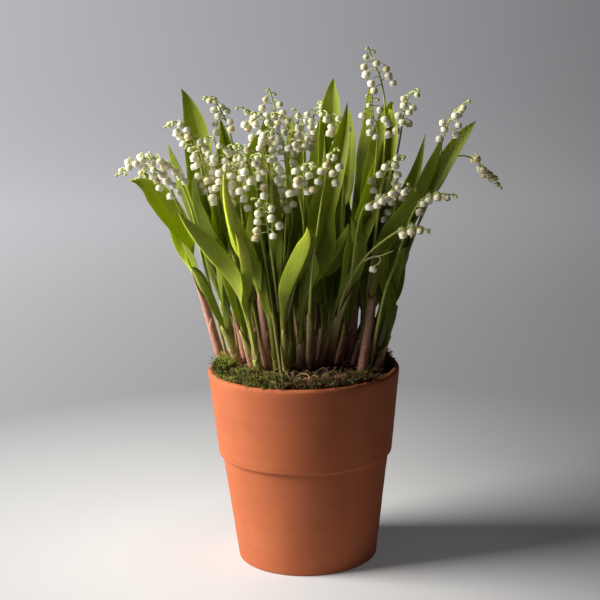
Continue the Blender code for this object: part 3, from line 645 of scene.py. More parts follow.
class Paint:
    """A node material that ends in a Principled shader."""

    def __init__(self, name, roughness, specular=0.5):
        self.material = bpy.data.materials.new(name)
        self.material.use_nodes = True
        self.tree = self.material.node_tree
        self.shader = self.tree.nodes["Principled BSDF"]
        self.shader.inputs["Roughness"].default_value = roughness
        self.shader.inputs["Specular IOR Level"].default_value = specular

    def node(self, kind, inputs=None, **settings):
        made = self.tree.nodes.new(kind)
        for key, value in settings.items():
            setattr(made, key, value)
        for key, value in (inputs or {}).items():
            self.set(made.inputs[key], value)
        return made

    def set(self, socket, value):
        if isinstance(value, bpy.types.NodeSocket):
            self.tree.links.new(value, socket)
        else:
            socket.default_value = value

    def attribute(self, name, output):
        return self.node("ShaderNodeAttribute", attribute_name=name).outputs[output]

    def object_place(self):
        return self.node("ShaderNodeTexCoord").outputs["Object"]

    def noise(self, scale, detail, roughness, vector=None):
        return self.node("ShaderNodeTexNoise", {"Vector": vector or self.object_place(), "Scale": scale,
                                                "Detail": detail, "Roughness": roughness}).outputs["Fac"]

    def stretched(self, vector, scale):
        return self.node("ShaderNodeMapping", {"Vector": vector, "Scale": scale}).outputs["Vector"]

    def ranged(self, value, low, high, to_low, to_high, **settings):
        return self.node("ShaderNodeMapRange", {"Value": value, "From Min": low, "From Max": high, "To Min": to_low,
                                                "To Max": to_high}, **settings).outputs["Result"]

    def spread(self, pattern, to_low, to_high):
        """A noise pattern, most of which lies between 0.3 and 0.7, brought to a range of its own."""
        return self.ranged(pattern, 0.3, 0.7, to_low, to_high)

    def mixed(self, share, first, second, blend="MIX"):
        made = self.node("ShaderNodeMix", data_type="RGBA", blend_type=blend)
        for key, value in (("Factor", share), ("A", first), ("B", second)):
            self.set(made.inputs[key], value)
        return made.outputs["Result"]

    def veiled(self, colour, pattern, start, full, most, tint):
        """A colour under another, which shows where a pattern is over start, and at most by the share most."""
        return self.mixed(self.ranged(pattern, start, full, 0.0, most), colour, rgba(tint))

    def maths(self, operation, first, second=0.0):
        return self.node("ShaderNodeMath", {0: first, 1: second}, operation=operation).outputs["Value"]

    def bump(self, height, distance, strength, normal=None):
        made = self.node("ShaderNodeBump", {"Height": height, "Distance": distance * MM, "Strength": strength})
        if normal is not None:
            self.set(made.inputs["Normal"], normal)
        return made.outputs["Normal"]

    def finish(self, colour, normal=None, roughness=None, through=None, share=0.0):
        """Sets the surface; through is the colour of light that passes a thin part, and share its share."""
        surface = {"Base Color": colour, "Normal": normal, "Roughness": roughness}
        for key, value in surface.items():
            if value is not None:
                self.set(self.shader.inputs[key], value)
        if share:
            lit = self.node("ShaderNodeBsdfTranslucent", {"Color": through, "Normal": normal})
            both = self.node("ShaderNodeMixShader", {0: share, 1: self.shader.outputs["BSDF"],
                                                     2: lit.outputs["BSDF"]})
            self.set(self.tree.nodes["Material Output"].inputs["Surface"], both.outputs["Shader"])
        return self.material


def terracotta_material():
    """Unglazed fired clay: soft blotches, faint turning bands, fine grit and a pale bloom."""
    paint = Paint("terracotta", 0.78, 0.3)
    blotches = paint.noise(26.0, 5.0, 0.6)
    bands = paint.noise(1.0, 3.0, 0.5, paint.stretched(paint.object_place(), (5.0, 5.0, 170.0)))
    grit = paint.noise(900.0, 3.0, 0.7)
    bloom = paint.noise(60.0, 6.0, 0.65)
    colour = rgba((0.350, 0.088, 0.031))
    for pattern, start, full, most, tint in ((blotches, 0.3, 0.7, 1.0, (0.405, 0.112, 0.042)),
                                             (bands, 0.45, 0.7, 0.14, (0.47, 0.15, 0.065)),
                                             (grit, 0.58, 0.78, 0.22, (0.24, 0.06, 0.022)),
                                             (bloom, 0.6, 0.82, 0.16, (0.55, 0.28, 0.17))):
        colour = paint.veiled(colour, pattern, start, full, most, tint)
    normal = paint.bump(bands, 0.3, 0.3, paint.bump(grit, 0.10, 0.45))
    return paint.finish(colour, normal, paint.spread(grit, 0.70, 0.90))


def soil_material():
    """Dark moist compost: clods of several browns."""
    paint = Paint("compost", 0.9)
    coarse = paint.noise(160.0, 8.0, 0.7)
    fine = paint.noise(900.0, 4.0, 0.7)
    colour = paint.veiled(rgba((0.012, 0.007, 0.005)), coarse, 0.35, 0.7, 1.0, (0.075, 0.040, 0.022))
    colour = paint.veiled(colour, fine, 0.55, 0.75, 0.6, (0.12, 0.07, 0.04))
    return paint.finish(colour, paint.bump(fine, 0.6, 0.7, paint.bump(coarse, 2.0, 0.8)))


def tinted_material(name):
    """A natural surface whose colour comes with its points, with a grain of its own."""
    scale, detail, grain_roughness, shades, depth, strength, roughness, share = TINTED[name]
    paint = Paint(name, roughness)
    grain = paint.noise(scale, detail, grain_roughness)
    colour = paint.mixed(1.0, paint.attribute("tint", "Color"), paint.spread(grain, *shades), "MULTIPLY")
    return paint.finish(colour, paint.bump(grain, depth, strength), None, colour, share)


def leaf_material():
    """A satin leaf with lengthwise veins; light from behind glows yellow-green through it."""
    paint = Paint("leaf", 0.45, 0.3)
    place = paint.attribute("place", "Vector")
    across = paint.node("ShaderNodeSeparateXYZ", {"Vector": place}).outputs["X"]
    main, fine = (paint.maths("COSINE", paint.maths("MULTIPLY", across, count * FULL_TURN))
                  for count in (MAIN_VEINS, FINE_VEINS))
    veins = paint.maths("ADD", paint.maths("POWER", paint.ranged(main, -1.0, 1.0, 0.0, 1.0), 6.0),
                        paint.maths("MULTIPLY", fine, 0.18))
    mottle = paint.noise(70.0, 5.0, 0.6)
    streaks = paint.noise(7.0, 4.0, 0.6, paint.stretched(place, (5.0, 0.30, 1.0)))
    shade = paint.maths("MULTIPLY", paint.spread(mottle, 0.86, 1.12), paint.spread(streaks, 0.74, 1.24))
    colour = paint.mixed(1.0, paint.attribute("tint", "Color"), shade, "MULTIPLY")
    colour = paint.veiled(colour, veins, 0.2, 1.1, 0.32, VEIN_TINT)
    through = paint.mixed(0.55, colour, rgba(THROUGH_TINT))
    normal = paint.bump(mottle, 0.4, 0.3, paint.bump(veins, 0.25, 0.7))
    return paint.finish(colour, normal, paint.spread(mottle, 0.38, 0.54), through, LEAF_THROUGH)


# Pot and soil


def arc(radius, height, size, start, end, steps):
    """Points of (radius, height) on an arc about a middle, from one angle in degrees to another."""
    return [(radius + size * math.cos(a), height + size * math.sin(a))
            for a in np.radians(np.linspace(start, end, steps + 1))]


def pot_profile():
    """Half section from the underside's middle, up the outside, over the lip and down to the floor's middle."""
    corners = (
        arc(BASE_RADIUS - FOOT_ROUND, FOOT_ROUND, FOOT_ROUND, -90, 0, 5),
        [(BODY_TOP_RADIUS + out, COLLAR_Z - drop) for out, drop in COLLAR_CREASE]
        + arc(COLLAR_RADIUS - COLLAR_ROUND, COLLAR_Z + COLLAR_ROUND, COLLAR_ROUND, -80, 0, 5),
        arc((RIM_RADIUS + RIM_INNER_RADIUS) / 2, POT_HEIGHT - LIP_ROUND, LIP_ROUND, 0, 180, 12),
        arc(INNER_FLOOR_RADIUS - INNER_FILLET, FLOOR_THICKNESS + INNER_FILLET, INNER_FILLET, 0, -90, 4),
        [(0.0, FLOOR_THICKNESS)],
    )
    profile = []
    start = (0.0, 0.0)
    for corner, steps in zip(corners, POT_STRAIGHTS):
        profile += [*np.linspace(start, corner[0], steps + 1)[1:-1], *corner]
        start = corner[-1]
    return profile[:-1]


def pot_wobble(angle, height):
    """How far the hand-turned wall stands out at an angle and height."""
    place = Vector((math.cos(angle) * POT_WOBBLE_ROUND, math.sin(angle) * POT_WOBBLE_ROUND,
                    height / POT_WOBBLE_RISE))
    return (POT_WOBBLE * noise.noise(place)
            + TURNING_MARK * math.sin(height * TURNING_MARKS_PER_MM + 2 * math.sin(angle)))


def cut_drains(item):
    """Cuts the drain holes through a piece."""
    for k in range(DRAINS):
        mesh = bpy.data.meshes.new("drain")
        middle = flat_way(math.pi / 2 + FULL_TURN * k / DRAINS) * DRAIN_CIRCLE_RADIUS
        points = np.concatenate([middle + flat_ring(DRAIN_RADIUS, DRAIN_SIDES, z) for z in DRAIN_CUT])
        mesh.from_pydata((points * MM).tolist(), [], tube_faces(2, DRAIN_SIDES))
        cutter = placed("drain", mesh)
        modifier = item.modifiers.new("drain", "BOOLEAN")
        modifier.operation = "DIFFERENCE"
        modifier.solver = "EXACT"
        modifier.object = cutter
        with bpy.context.temp_override(object=item, active_object=item):
            bpy.ops.object.modifier_apply(modifier=modifier.name)
        bpy.data.objects.remove(cutter)


def build_pot():
    profile = pot_profile()
    rings = []
    for radius, height in profile:
        wobble = np.array([pot_wobble(angle, height) for angle in turns(POT_SIDES)])
        rings.append(flat_ring(radius + wobble * min(1.0, radius / STEADY_RADIUS), POT_SIDES, height))
    faces = tube_faces(len(rings), POT_SIDES, caps=False)
    middle = len(rings) * POT_SIDES
    last = middle - POT_SIDES
    for k in range(POT_SIDES):
        after = (k + 1) % POT_SIDES
        faces.append((after, k, middle))
        faces.append((last + k, last + after, middle + 1))
    skin = Skin()
    skin.add(np.vstack([*rings, [(0, 0, 0), (0, 0, FLOOR_THICKNESS)]]), faces, (1, 1, 1))
    cut_drains(skin.piece("clay_pot", terracotta_material(), "terracotta", ["pot"], POT_CREASE))


def soil_height(radius):
    """Height of the soil's top at a distance from the middle, before its crumbs."""
    return float(np.interp(radius, [SOIL_CROWN_RADIUS, SOIL_FLAT_RADIUS], [SOIL_TOP_Z, SOIL_EDGE_Z]))


def inner_wall(height):
    return np.interp(height, [FLOOR_THICKNESS, POT_HEIGHT - LIP_ROUND],
                     [INNER_FLOOR_RADIUS, RIM_INNER_RADIUS]) - SOIL_CLEARANCE


def rough_height(x, y):
    return CLOD_HEIGHT * noise.fractal(Vector((x / CLOD_SIZE, y / CLOD_SIZE, CLOD_LAYER)), *CLOD_GRAIN)


def ground(x, y):
    """Height of the rough soil at a place."""
    return soil_height(math.hypot(x, y)) + rough_height(x, y)


def build_soil():
    outer = inner_wall(SOIL_EDGE_Z)
    bottom = FLOOR_THICKNESS + SOIL_FLOOR_GAP
    rings = [flat_ring(radius, SOIL_SIDES, height)
             for radius, height in ((0.5, bottom), (INNER_FLOOR_RADIUS - SOIL_BEVEL - 1, bottom),
                                    (inner_wall(FLOOR_THICKNESS + SOIL_BEVEL), bottom + SOIL_BEVEL),
                                    (outer, SOIL_EDGE_Z - 2))]
    for ring in range(SOIL_RINGS):
        radius = outer * (1 - ring / SOIL_RINGS) - 0.05
        points = flat_ring(radius, SOIL_SIDES, soil_height(radius))
        points[:, 2] += [rough_height(x, y) * min(1, radius / SOIL_SMOOTH_RADIUS) for x, y, _ in points]
        rings.append(points)
    skin = Skin()
    skin.add_rings(rings, (1, 1, 1))
    skin.piece("compost", soil_material(), "soil", ["soil"], SOIL_CREASE)


def add_crumb(skin, source, x, y, size, tints, darkness, flatness):
    """A small irregular crumb on the soil: an uneven twelve-pointed solid."""
    tint = blended(*tints, source.random() ** darkness)
    flat = source.uniform(*flatness)
    turn = Matrix.Rotation(source.uniform(*ANY_TURN), 3, "Z")
    stretch = np.array([source.uniform(*CRUMB_LENGTHS), source.uniform(*CRUMB_WIDTHS), flat])
    bulges = np.array([[source.uniform(*CRUMB_BULGES)] for _ in LUMP_CORNERS])
    shaped = (unit(LUMP_CORNERS) * stretch * bulges * size) @ np.array(turn).T
    skin.add(shaped + (x, y, ground(x, y) + size * CRUMB_SIT), LUMP_FACES, tint)


def add_straw(skin, source):
    """A bent dry stem that lies on the soil."""
    radius = (LITTER_RADIUS - 1) * math.sqrt(source.uniform(0.2, 1))
    angle = source.uniform(0, FULL_TURN)
    x, y = radius * math.cos(angle), radius * math.sin(angle)
    start = np.array((x, y, ground(x, y) + 1.0))
    way = flat_way(angle + math.pi / 2 + source.uniform(*STRAW_TURNS))
    length = source.uniform(*STRAW_LENGTHS)
    crest = start + way * length / 2 + np.array((0, 0, source.uniform(*STRAW_ARCHES)))
    end = start + way * length
    if math.hypot(end[0], end[1]) > LITTER_RADIUS:
        return
    end[2] = ground(end[0], end[1]) + 0.6
    tint = blended(*STRAW_TINTS, source.random() ** 1.5)
    path = catmull_rom([start, crest, end], 4)
    skin.add_rings(tube_rings(path, source.uniform(*STRAW_RADII), STRAW_SIDES), tint)


def build_crumbs():
    """Crumbs of compost, bark and dry litter on the soil."""
    source = random.Random(5)
    skin = Skin()
    for _ in range(CRUMBS):
        radius = LITTER_RADIUS * math.sqrt(source.random())
        angle = source.uniform(0, FULL_TURN)
        add_crumb(skin, source, radius * math.cos(angle), radius * math.sin(angle), source.choice(CRUMB_SIZES),
                  CRUMB_TINTS, 2, CRUMB_FLATNESS)
    for _ in range(FLAKES):
        x, y, size = source.uniform(*FLAKE_X), source.uniform(*FLAKE_Y), source.uniform(*FLAKE_SIZES)
        add_crumb(skin, source, x, y, size, FLAKE_TINTS, 1, FLAKE_FLATNESS)
    for _ in range(STRAWS):
        add_straw(skin, source)
    skin.piece("compost_crumbs", tinted_material("crumb"), "soil")


# Leaves


def cad_rings(node):
    """The rings of points that a CAD leaf was lofted from, foot first, with the tip as the last."""
    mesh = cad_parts[node].data
    welded = {}
    index = [welded.setdefault(tuple(round(c * 1e6) for c in v.co), len(welded)) for v in mesh.vertices]
    points = np.array(list(welded), float) * 1e-6 / MM
    near = [set() for _ in points]
    for polygon in mesh.polygons:
        corners = [index[v] for v in polygon.vertices]
        for a, b in zip(corners, corners[1:] + corners[:1]):
            near[a].add(b)
            near[b].add(a)
    for tip in sorted(range(len(points)), key=lambda k: -points[k, 2]):
        layers = [[tip]]
        seen = {tip}
        while layer := sorted({b for a in layers[-1] for b in near[a]} - seen):
            seen.update(layer)
            layers.append(layer)
        if len(layers) == LOFT_RINGS + 1 and all(len(layer) == RING_POINTS for layer in layers[1:-1]):
            return [points[layer] for layer in reversed(layers)]
    raise ValueError(f"{node} isn't a loft of {LOFT_RINGS} rings of {RING_POINTS} points")


def ring_lines(ring):
    """Left edge, right edge, and middles of the upper and the lower side of one ring of a CAD leaf."""
    gaps = np.linalg.norm(ring[:, None] - ring[None], axis=2)
    left, right = np.unravel_index(gaps.argmax(), gaps.shape)
    line = unit(ring[right] - ring[left])
    rest = [k for k in range(len(ring)) if k not in (left, right)]
    offsets = ring[rest] - ring[left]
    from_line = np.linalg.norm(offsets - line * (offsets @ line)[:, None], axis=1)
    order = [rest[k] for k in np.argsort(from_line)]
    return ring[left], ring[right], ring[order[:2]].mean(0), ring[order[2:]].mean(0)


def cad_leaf_lines(node):
    """The middle line, crosswise and upward directions, half width, cup and thickness along a CAD leaf."""
    rings = cad_rings(node)[1:]
    stations = []
    for ring in rings[:-1]:
        left, right, upper, lower = ring_lines(ring)
        across = unit(right - left)
        if stations and across.dot(stations[-1][1]) < 0:
            across = -across
        middle = (left + right) / 2
        up = unit(middle - lower - across * (middle - lower).dot(across))
        cup = (middle - upper).dot(up) / (1 - CAD_SHOULDER_SHARE)
        thick = (upper - lower).dot(up) / math.sqrt(1 - CAD_SHOULDER_SHARE)
        stations.append((middle - up * cup, across, up, np.linalg.norm(right - left) / 2, cup, thick))
    stations.append((rings[-1][0], *stations[-1][1:3], 0.0, 0.0, TIP_THICKNESS))
    return {key: np.array(values)
            for key, values in zip(("centre", "across", "up", "half", "cup", "thick"), zip(*stations))}


def leaf_tints(along, across, lower, tone, pale, shade):
    """Colour of a leaf: pinkish foot, pale yellow-green stem, green blade with a paler edge and underside."""
    colour = blended(STEM_TINT, blended(DEEP_TINT, BRIGHT_TINT, tone), smooth_step(along, *STEM_END))
    colour = blended(FOOT_TINT, colour, smooth_step(along, *FOOT_END))
    on_blade = smooth_step(along, *TINTED_BLADE)
    edge = smooth_step(np.abs(across), *EDGE_BAND) * on_blade
    rib = (1 - smooth_step(np.abs(across), *RIB_BAND)) * on_blade
    for band, (gain, lift, share) in ((edge, EDGE_PAINT), (rib, RIB_PAINT)):
        colour = blended(colour, colour * gain + lift, share * band)
    colour = blended(colour, UNDERSIDE_TINT, np.where(lower, UNDERSIDE_SHARE, 0.0) * on_blade)
    # shade is painted light and shade for the whole leaf, with a little random variation: above 1 it lightens a leaf
    # that faces the light, below 1 it darkens a leaf in shade
    return blended(colour, PALE_TINT, pale * smooth_step(along, *PALE_BAND)) * shade


def turn_to_light(up):
    """How far a blade turns on its own line so that its nearer face looks more to the light."""
    face = up[len(up) // 3:].mean(0)
    face = face if face[1] < 0 else -face
    azimuth = math.degrees(math.atan2(face[1], face[0]))
    return math.radians(float(np.clip(LIGHT_TURN * (azimuth - LIGHT_AZIMUTH), *LIGHT_TURN_LIMITS)))


def add_leaf(skin, lines, source, tone, pale, shade, painted_half_light):
    """A leaf with a folded, finely pleated blade, wavy edges and a drawn out tip."""
    knots = lengths_along(lines["centre"])
    begin = knots[0] - STEM_SINK
    places = begin + (knots[-1] - begin) * (1 - (1 - np.linspace(0, 1, LEAF_ROWS)) ** ROW_CROWDING)
    centre, across, up, half, cup, thick = (eased(knots, lines[key], places)
                                            for key in ("centre", "across", "up", "half", "cup", "thick"))
    tangent = unit(np.gradient(centre, axis=0))
    up = unit(up - tangent * (up * tangent).sum(1, keepdims=True))
    crossing = np.cross(tangent, up)
    across = unit(crossing) * np.sign((crossing * across).sum(1, keepdims=True))

    along = (places - knots[NECK_ROW]) / (knots[-1] - knots[NECK_ROW])
    blade = smooth_step(along, *BLADE_BAND)
    thick = thick * STEM_SCALE * (1 - blade) + LEAF_THICKNESS * blade
    half = np.maximum(half, 0.05) * (STEM_SCALE + (BLADE_SCALE - STEM_SCALE) * blade)
    fold_gain = source.uniform(*FOLD_GAINS) * (FOLD_FADE[0] - FOLD_FADE[1] * np.clip(along, 0, 1))
    cup = cup * (1 + (fold_gain * BLADE_SCALE - 1) * blade)
    half = half * (1 + blade * (np.clip(along / LOW_BLADE_END, 0.1, 1) ** -LOW_BLADE_GAIN - 1))
    half = np.minimum(half, 0.1 + TIP_SLOPE * (places[-1] - places))
    tip = np.sqrt(np.clip((1 - along) / TIP_ROUND_SHARE, 0.02, 1))

    phases = [source.uniform(*ANY_TURN) for _ in range(5)]
    sway = np.sin(along * SWAY_TURNS + phases[4]) * SWAY * blade * np.clip((1 - along) * 4, 0, 1)
    centre = centre + across * sway[:, None]
    hand = np.sign((np.cross(tangent, up) * across).sum())
    twist = (TWIST * np.sin(along * TWIST_TURNS + phases[2]) + hand * turn_to_light(up)) * blade
    cosine, sine = np.cos(twist)[:, None], np.sin(twist)[:, None]
    across, up = across * cosine + up * sine, up * cosine - across * sine

    u = np.sin(np.linspace(-math.pi / 2, math.pi / 2, LEAF_COLUMNS - 2))
    u = np.sort(np.append(u, (-FOLD_HALF, FOLD_HALF)))
    waves = [(np.sin(places / long + a) + EDGE_WAVE_SHORT * np.sin(places / short + b))[:, None] * 0.5
             for (long, short), a, b in zip(EDGE_WAVE_LENGTHS, phases[0::2], phases[1::2])]
    edge = np.where(u < 0, *waves) * np.abs(u) ** EDGE_WAVE_POWER
    flank, flank_power, hollow = FOLD_SECTION
    fold = flank * np.abs(u) ** flank_power + hollow * u ** 2
    spine = blade[:, None]
    lift = (cup[:, None] * (u ** 2 * (1 - spine) + fold * spine) + spine * half[:, None] * EDGE_WAVE * edge
            + spine * PLEAT * np.cos(u * PLEATS * math.pi) * (1 - u ** 2))
    upper = centre[:, None] + across[:, None] * (half[:, None] * u)[..., None] + up[:, None] * lift[..., None]
    belly = (thick * tip)[:, None] * np.sqrt(np.clip(1 - u ** 2, 0, 1))
    lower = upper - up[:, None] * belly[..., None]

    back = slice(LEAF_COLUMNS - 2, 0, -1)
    rings = np.concatenate([upper, lower[:, back]], axis=1)
    ring_u = np.concatenate([u, u[back]])
    under = np.arange(len(ring_u)) >= LEAF_COLUMNS
    tints = leaf_tints(along[:, None], ring_u, under, tone, pale, shade)
    # Painted light and shade: the half of the blade on the light's side is made lighter, the other half darker
    lit_half = -np.sign(across[:, 0].sum()) * np.tanh(HALF_SHARPNESS * ring_u) * spine
    tints = tints * (1 + painted_half_light * lit_half)[..., None]
    uvs = np.stack(np.broadcast_arrays(ring_u, places[:, None] / 10), axis=2)
    skin.add_rings(rings, tints.reshape(-1, 3), uvs.reshape(-1, 2))


def small_shoot(entry):
    """Collar and neck of a small shoot's stems, and the way it leans."""
    x, y, lean, reach = entry[:4]
    way = flat_way(math.radians(lean))
    collar = np.array((x, y, soil_height(math.hypot(x, y)) + 2.0))
    outward = np.array((x * SMALL_NECK_LEAN, y * SMALL_NECK_LEAN, SMALL_NECK_RISE))
    neck = collar + outward + way * reach * SMALL_NECK_LEAN
    return collar, neck, way


def swung(way, angle):
    """Directions turned about the upright by angles."""
    return np.stack([way[0] * np.cos(angle) - way[1] * np.sin(angle), way[0] * np.sin(angle) + way[1] * np.cos(angle),
                     np.zeros(np.shape(angle))], axis=-1)


def small_leaf_lines(entry, hand, source):
    """The lines of one of a small shoot's two leaves, in the form of cad_leaf_lines."""
    collar, neck, way = small_shoot(entry)
    reach, rise, widest = entry[3:]
    out = swung(way, math.radians(source.uniform(*SMALL_SPREAD)) + hand * SMALL_PARTING)
    shorter = 1.0 if hand > 0 else source.uniform(*SMALL_SECOND_RISE)
    tip = neck + out * reach * SMALL_REACHES[hand] + np.array((0, 0, rise * shorter))
    middle = (neck + tip) / 2 - out * reach * 0.12 + np.array((0, 0, 5.0))
    length = np.linalg.norm(middle - neck) + np.linalg.norm(tip - middle)
    second = neck + unit(neck - collar) * length * 0.28
    third = (middle * 8 - neck - second * 3 - tip) / 3
    aside = -out if hand > 0 else out
    share = SMALL_BLADE_STATIONS
    t = share[:, None]
    curve = neck * (1 - t) ** 3 + second * 3 * (1 - t) ** 2 * t + third * 3 * (1 - t) * t ** 2 + tip * t ** 3
    faces = swung(aside, math.radians(source.uniform(*SMALL_SWING)) * smooth_step(share, 0.15, 0.7))
    centre = np.vstack([collar, curve, tip]) - aside * 0.2
    face = np.vstack([aside, faces, faces[-1]])
    tangent = unit(np.gradient(centre, axis=0))
    up = unit(face - tangent * (face * tangent).sum(1, keepdims=True))
    width = (widest * source.uniform(*SMALL_WIDTHS) * share ** SMALL_WIDTH_POWER * (1 - share) / SMALL_WIDTH_SCALE
             + SMALL_STEM_WIDTH * (1 - share) ** 4)
    half = np.concatenate([[3.4], width / 2, [0.0]])
    cup = np.concatenate([[-0.05], width * SMALL_CUP * smooth_step(share, 0.05, 0.35) - 0.05, [0.0]])
    thick = np.concatenate([[3.0], 2.2 - 1.3 * smooth_step(share, 0.0, 0.35), [TIP_THICKNESS]])
    return {"centre": centre, "across": np.cross(tangent, up), "up": up, "half": half, "cup": cup, "thick": thick}


def build_leaves():
    material = leaf_material()
    for number in STALKS:
        for which in ("outer", "inner"):
            node = f"leaf_{number:02d}_{which}"
            source = random.Random(number * 10 + (which == "inner"))
            # The third value is painted light for how the light falls on the whole leaf, the fourth painted light on
            # one half
            tone, pale, light, painted_half_light = LEAF_TONES.get((number, which), DEFAULT_TONE)
            skin = Skin()
            add_leaf(skin, cad_leaf_lines(node), source, tone, pale, light * source.uniform(0.94, 1.06), painted_half_light)
            skin.piece(f"{node}_blade", material, "leaf", [node])
    for number, entry in enumerate(SMALL_SHOOTS, 1):
        source = random.Random(500 + number)
        skin = Skin()
        for hand in (1, -1):
            lines = small_leaf_lines(entry, hand, source)
            # Small leaves sit inside the clump: their shade is painted shade that darkens them, and their deep greens
            # are partly painted shade too
            tone, pale, shade = (source.uniform(*limits)
                                 for limits in (SMALL_LEAF_TONES, SMALL_LEAF_PALENESS, SMALL_LEAF_PAINTED_SHADES))
            add_leaf(skin, lines, source, tone, pale, shade, SMALL_LEAF_PAINTED_HALVES)
        skin.piece(f"small_leaves_{number:02d}", material, "leaf")


# Flower stalks, bells and buds


def hung_rings(top, axis, turn, rows):
    """Rings of points round an axis that hangs from a top; each row gives their radii and drops."""
    first, second = crosswise(unit(axis), (0.3, 0.95, 0.1))
    rings = []
    for radius, drop in rows:
        angles = turns(len(radius)) + turn
        rings.append(top + hoop(first, second, angles, radius) + unit(axis) * np.reshape(drop, (-1, 1)))
    return rings


def add_bell(skin, top, axis, size, turn, opening, tint_top, tint):
    """A hanging bell with six lobes that curl outwards, as a closed double wall."""
    ribs = np.cos(BELL_LOBES * turns(BELL_SIDES))
    lobes = 0.5 + 0.5 * ribs
    mouth = BELL_MOUTH_RADIUS + BELL_MOUTH_GAIN * opening
    rows = []
    shares = []
    for radius, drop in (*BELL_SECTION, (mouth, BELL_NOTCH_DROP)):
        ridge = 1 + BELL_RIB * ribs * min(1.0, drop / 0.5)
        rows.append((max(radius * BELL_RADIUS * size, 0.05) * ridge, np.full(BELL_SIDES, drop * BELL_HEIGHT * size)))
        shares.append(drop)
    for share in BELL_LIP:
        curl = lobes ** 0.7 * share
        outward = 1.15 * opening * curl * (0.4 + 0.6 * share)
        down = 0.62 * share * (0.15 + lobes ** 0.8) - 0.55 * opening * lobes * share ** 3
        rows.append((mouth * BELL_RADIUS * size + size * outward,
                     BELL_NOTCH_DROP * BELL_HEIGHT * size + size * down))
        shares.append(0.9 + 0.1 * share)
    wall = BELL_WALL * size
    outside = len(rows)
    for k in reversed(range(outside)):
        back = outside - 1 - k
        if back < len(BELL_LIP) or back % 2:    # the inner wall leaves out every second row above its lip
            radius, drop = rows[k]
            drop = np.maximum(drop + wall * max(0.0, 1 - k / 6), 0.0) - (0.0 if back else 0.05)
            rows.append((np.maximum(radius - wall, 0.03), drop))
            shares.append(shares[k])
    tints = blended(tint_top, tint, smooth_step(np.array(shares), 0.0, 0.45))
    skin.add_rings(hung_rings(top, axis, turn, rows), tints)


def add_bud(skin, top, axis, size, turn, tint_top, tint):
    """A closed bud, egg-shaped and faintly six-ribbed."""
    ribs = 1 + BUD_RIB * np.cos(BELL_LOBES * turns(BUD_SIDES))
    widths = np.sin(math.pi * np.clip(BUD_SECTION, 0.015, 0.985) ** 0.85)
    rows = [(width * BELL_RADIUS * BUD_WIDTH * size * ribs, share * BELL_HEIGHT * BUD_LENGTH * size)
            for share, width in zip(BUD_SECTION, widths)]
    skin.add_rings(hung_rings(top, axis, turn, rows), blended(tint_top, tint, smooth_step(BUD_SECTION, 0.0, 0.6)))


def add_bract(skin, base, out, tangent, length, tint):
    """The small pointed leaf under a bell's stem."""
    across = unit(np.cross(out, tangent))
    thick = unit(np.cross(across, out)) * 0.09
    rings = []
    for share, width in BRACT_SECTION:
        middle = base + out * (length * share * 0.8) + tangent * (length * share * 0.45)
        rings.append([middle - across * width, middle + thick, middle + across * width, middle - thick])
    skin.add_rings(rings, tint)


def bell_way(heading, hang, side, spread):
    """The way a bell's stem leaves the stalk: to either hand, and more to the front where the stalk rises."""
    toward = flat_way(hang)
    flat = np.array((heading[0], heading[1], 0.0))
    across = np.array((-toward[1], toward[0], 0.0))
    if abs(heading[2]) < 0.85:
        across = unit(np.array((-flat[1], flat[0], 0.0)))
        toward = toward - unit(flat) * toward.dot(unit(flat)) * 0.7
    return unit(toward * math.cos(spread) + across * side * math.sin(spread))


PLACED_BELLS = []


def placed_bell(source, at, heading, hang, index, grown, size):
    """Way out, crest and top of a bell's stem; tries several, until its bell is clear of the others."""
    side = 1 if index % 2 else -1
    first = None
    for attempt in range(BELL_ATTEMPTS):
        spread = math.radians(source.uniform(PEDICEL_SPREAD[0], PEDICEL_SPREAD[1] + PEDICEL_SPREAD_STEP * attempt))
        reach = PEDICEL_REACH * (0.45 + 0.55 * grown) * source.uniform(*PEDICEL_REACHES)
        out = bell_way(heading, hang, side if attempt % 2 == 0 else -side, spread)
        rise = source.uniform(-0.4, 2.4 + 3.0 * (abs(heading[2]) < 0.6)) * grown
        crest = at + out * reach * 0.6 + np.array((0, 0, rise))
        top = at + out * reach + np.array((0, 0, rise - 1.6 * grown))
        centre = top - np.array((0, 0, BELL_HEIGHT * size * 0.55))
        found = (out, crest, top, centre)
        first = first or found
        if all(np.linalg.norm(centre - other) > BELL_CLEARANCE for other in PLACED_BELLS):
            break
    else:
        found = first
    PLACED_BELLS.append(found[3])
    return found[:3]


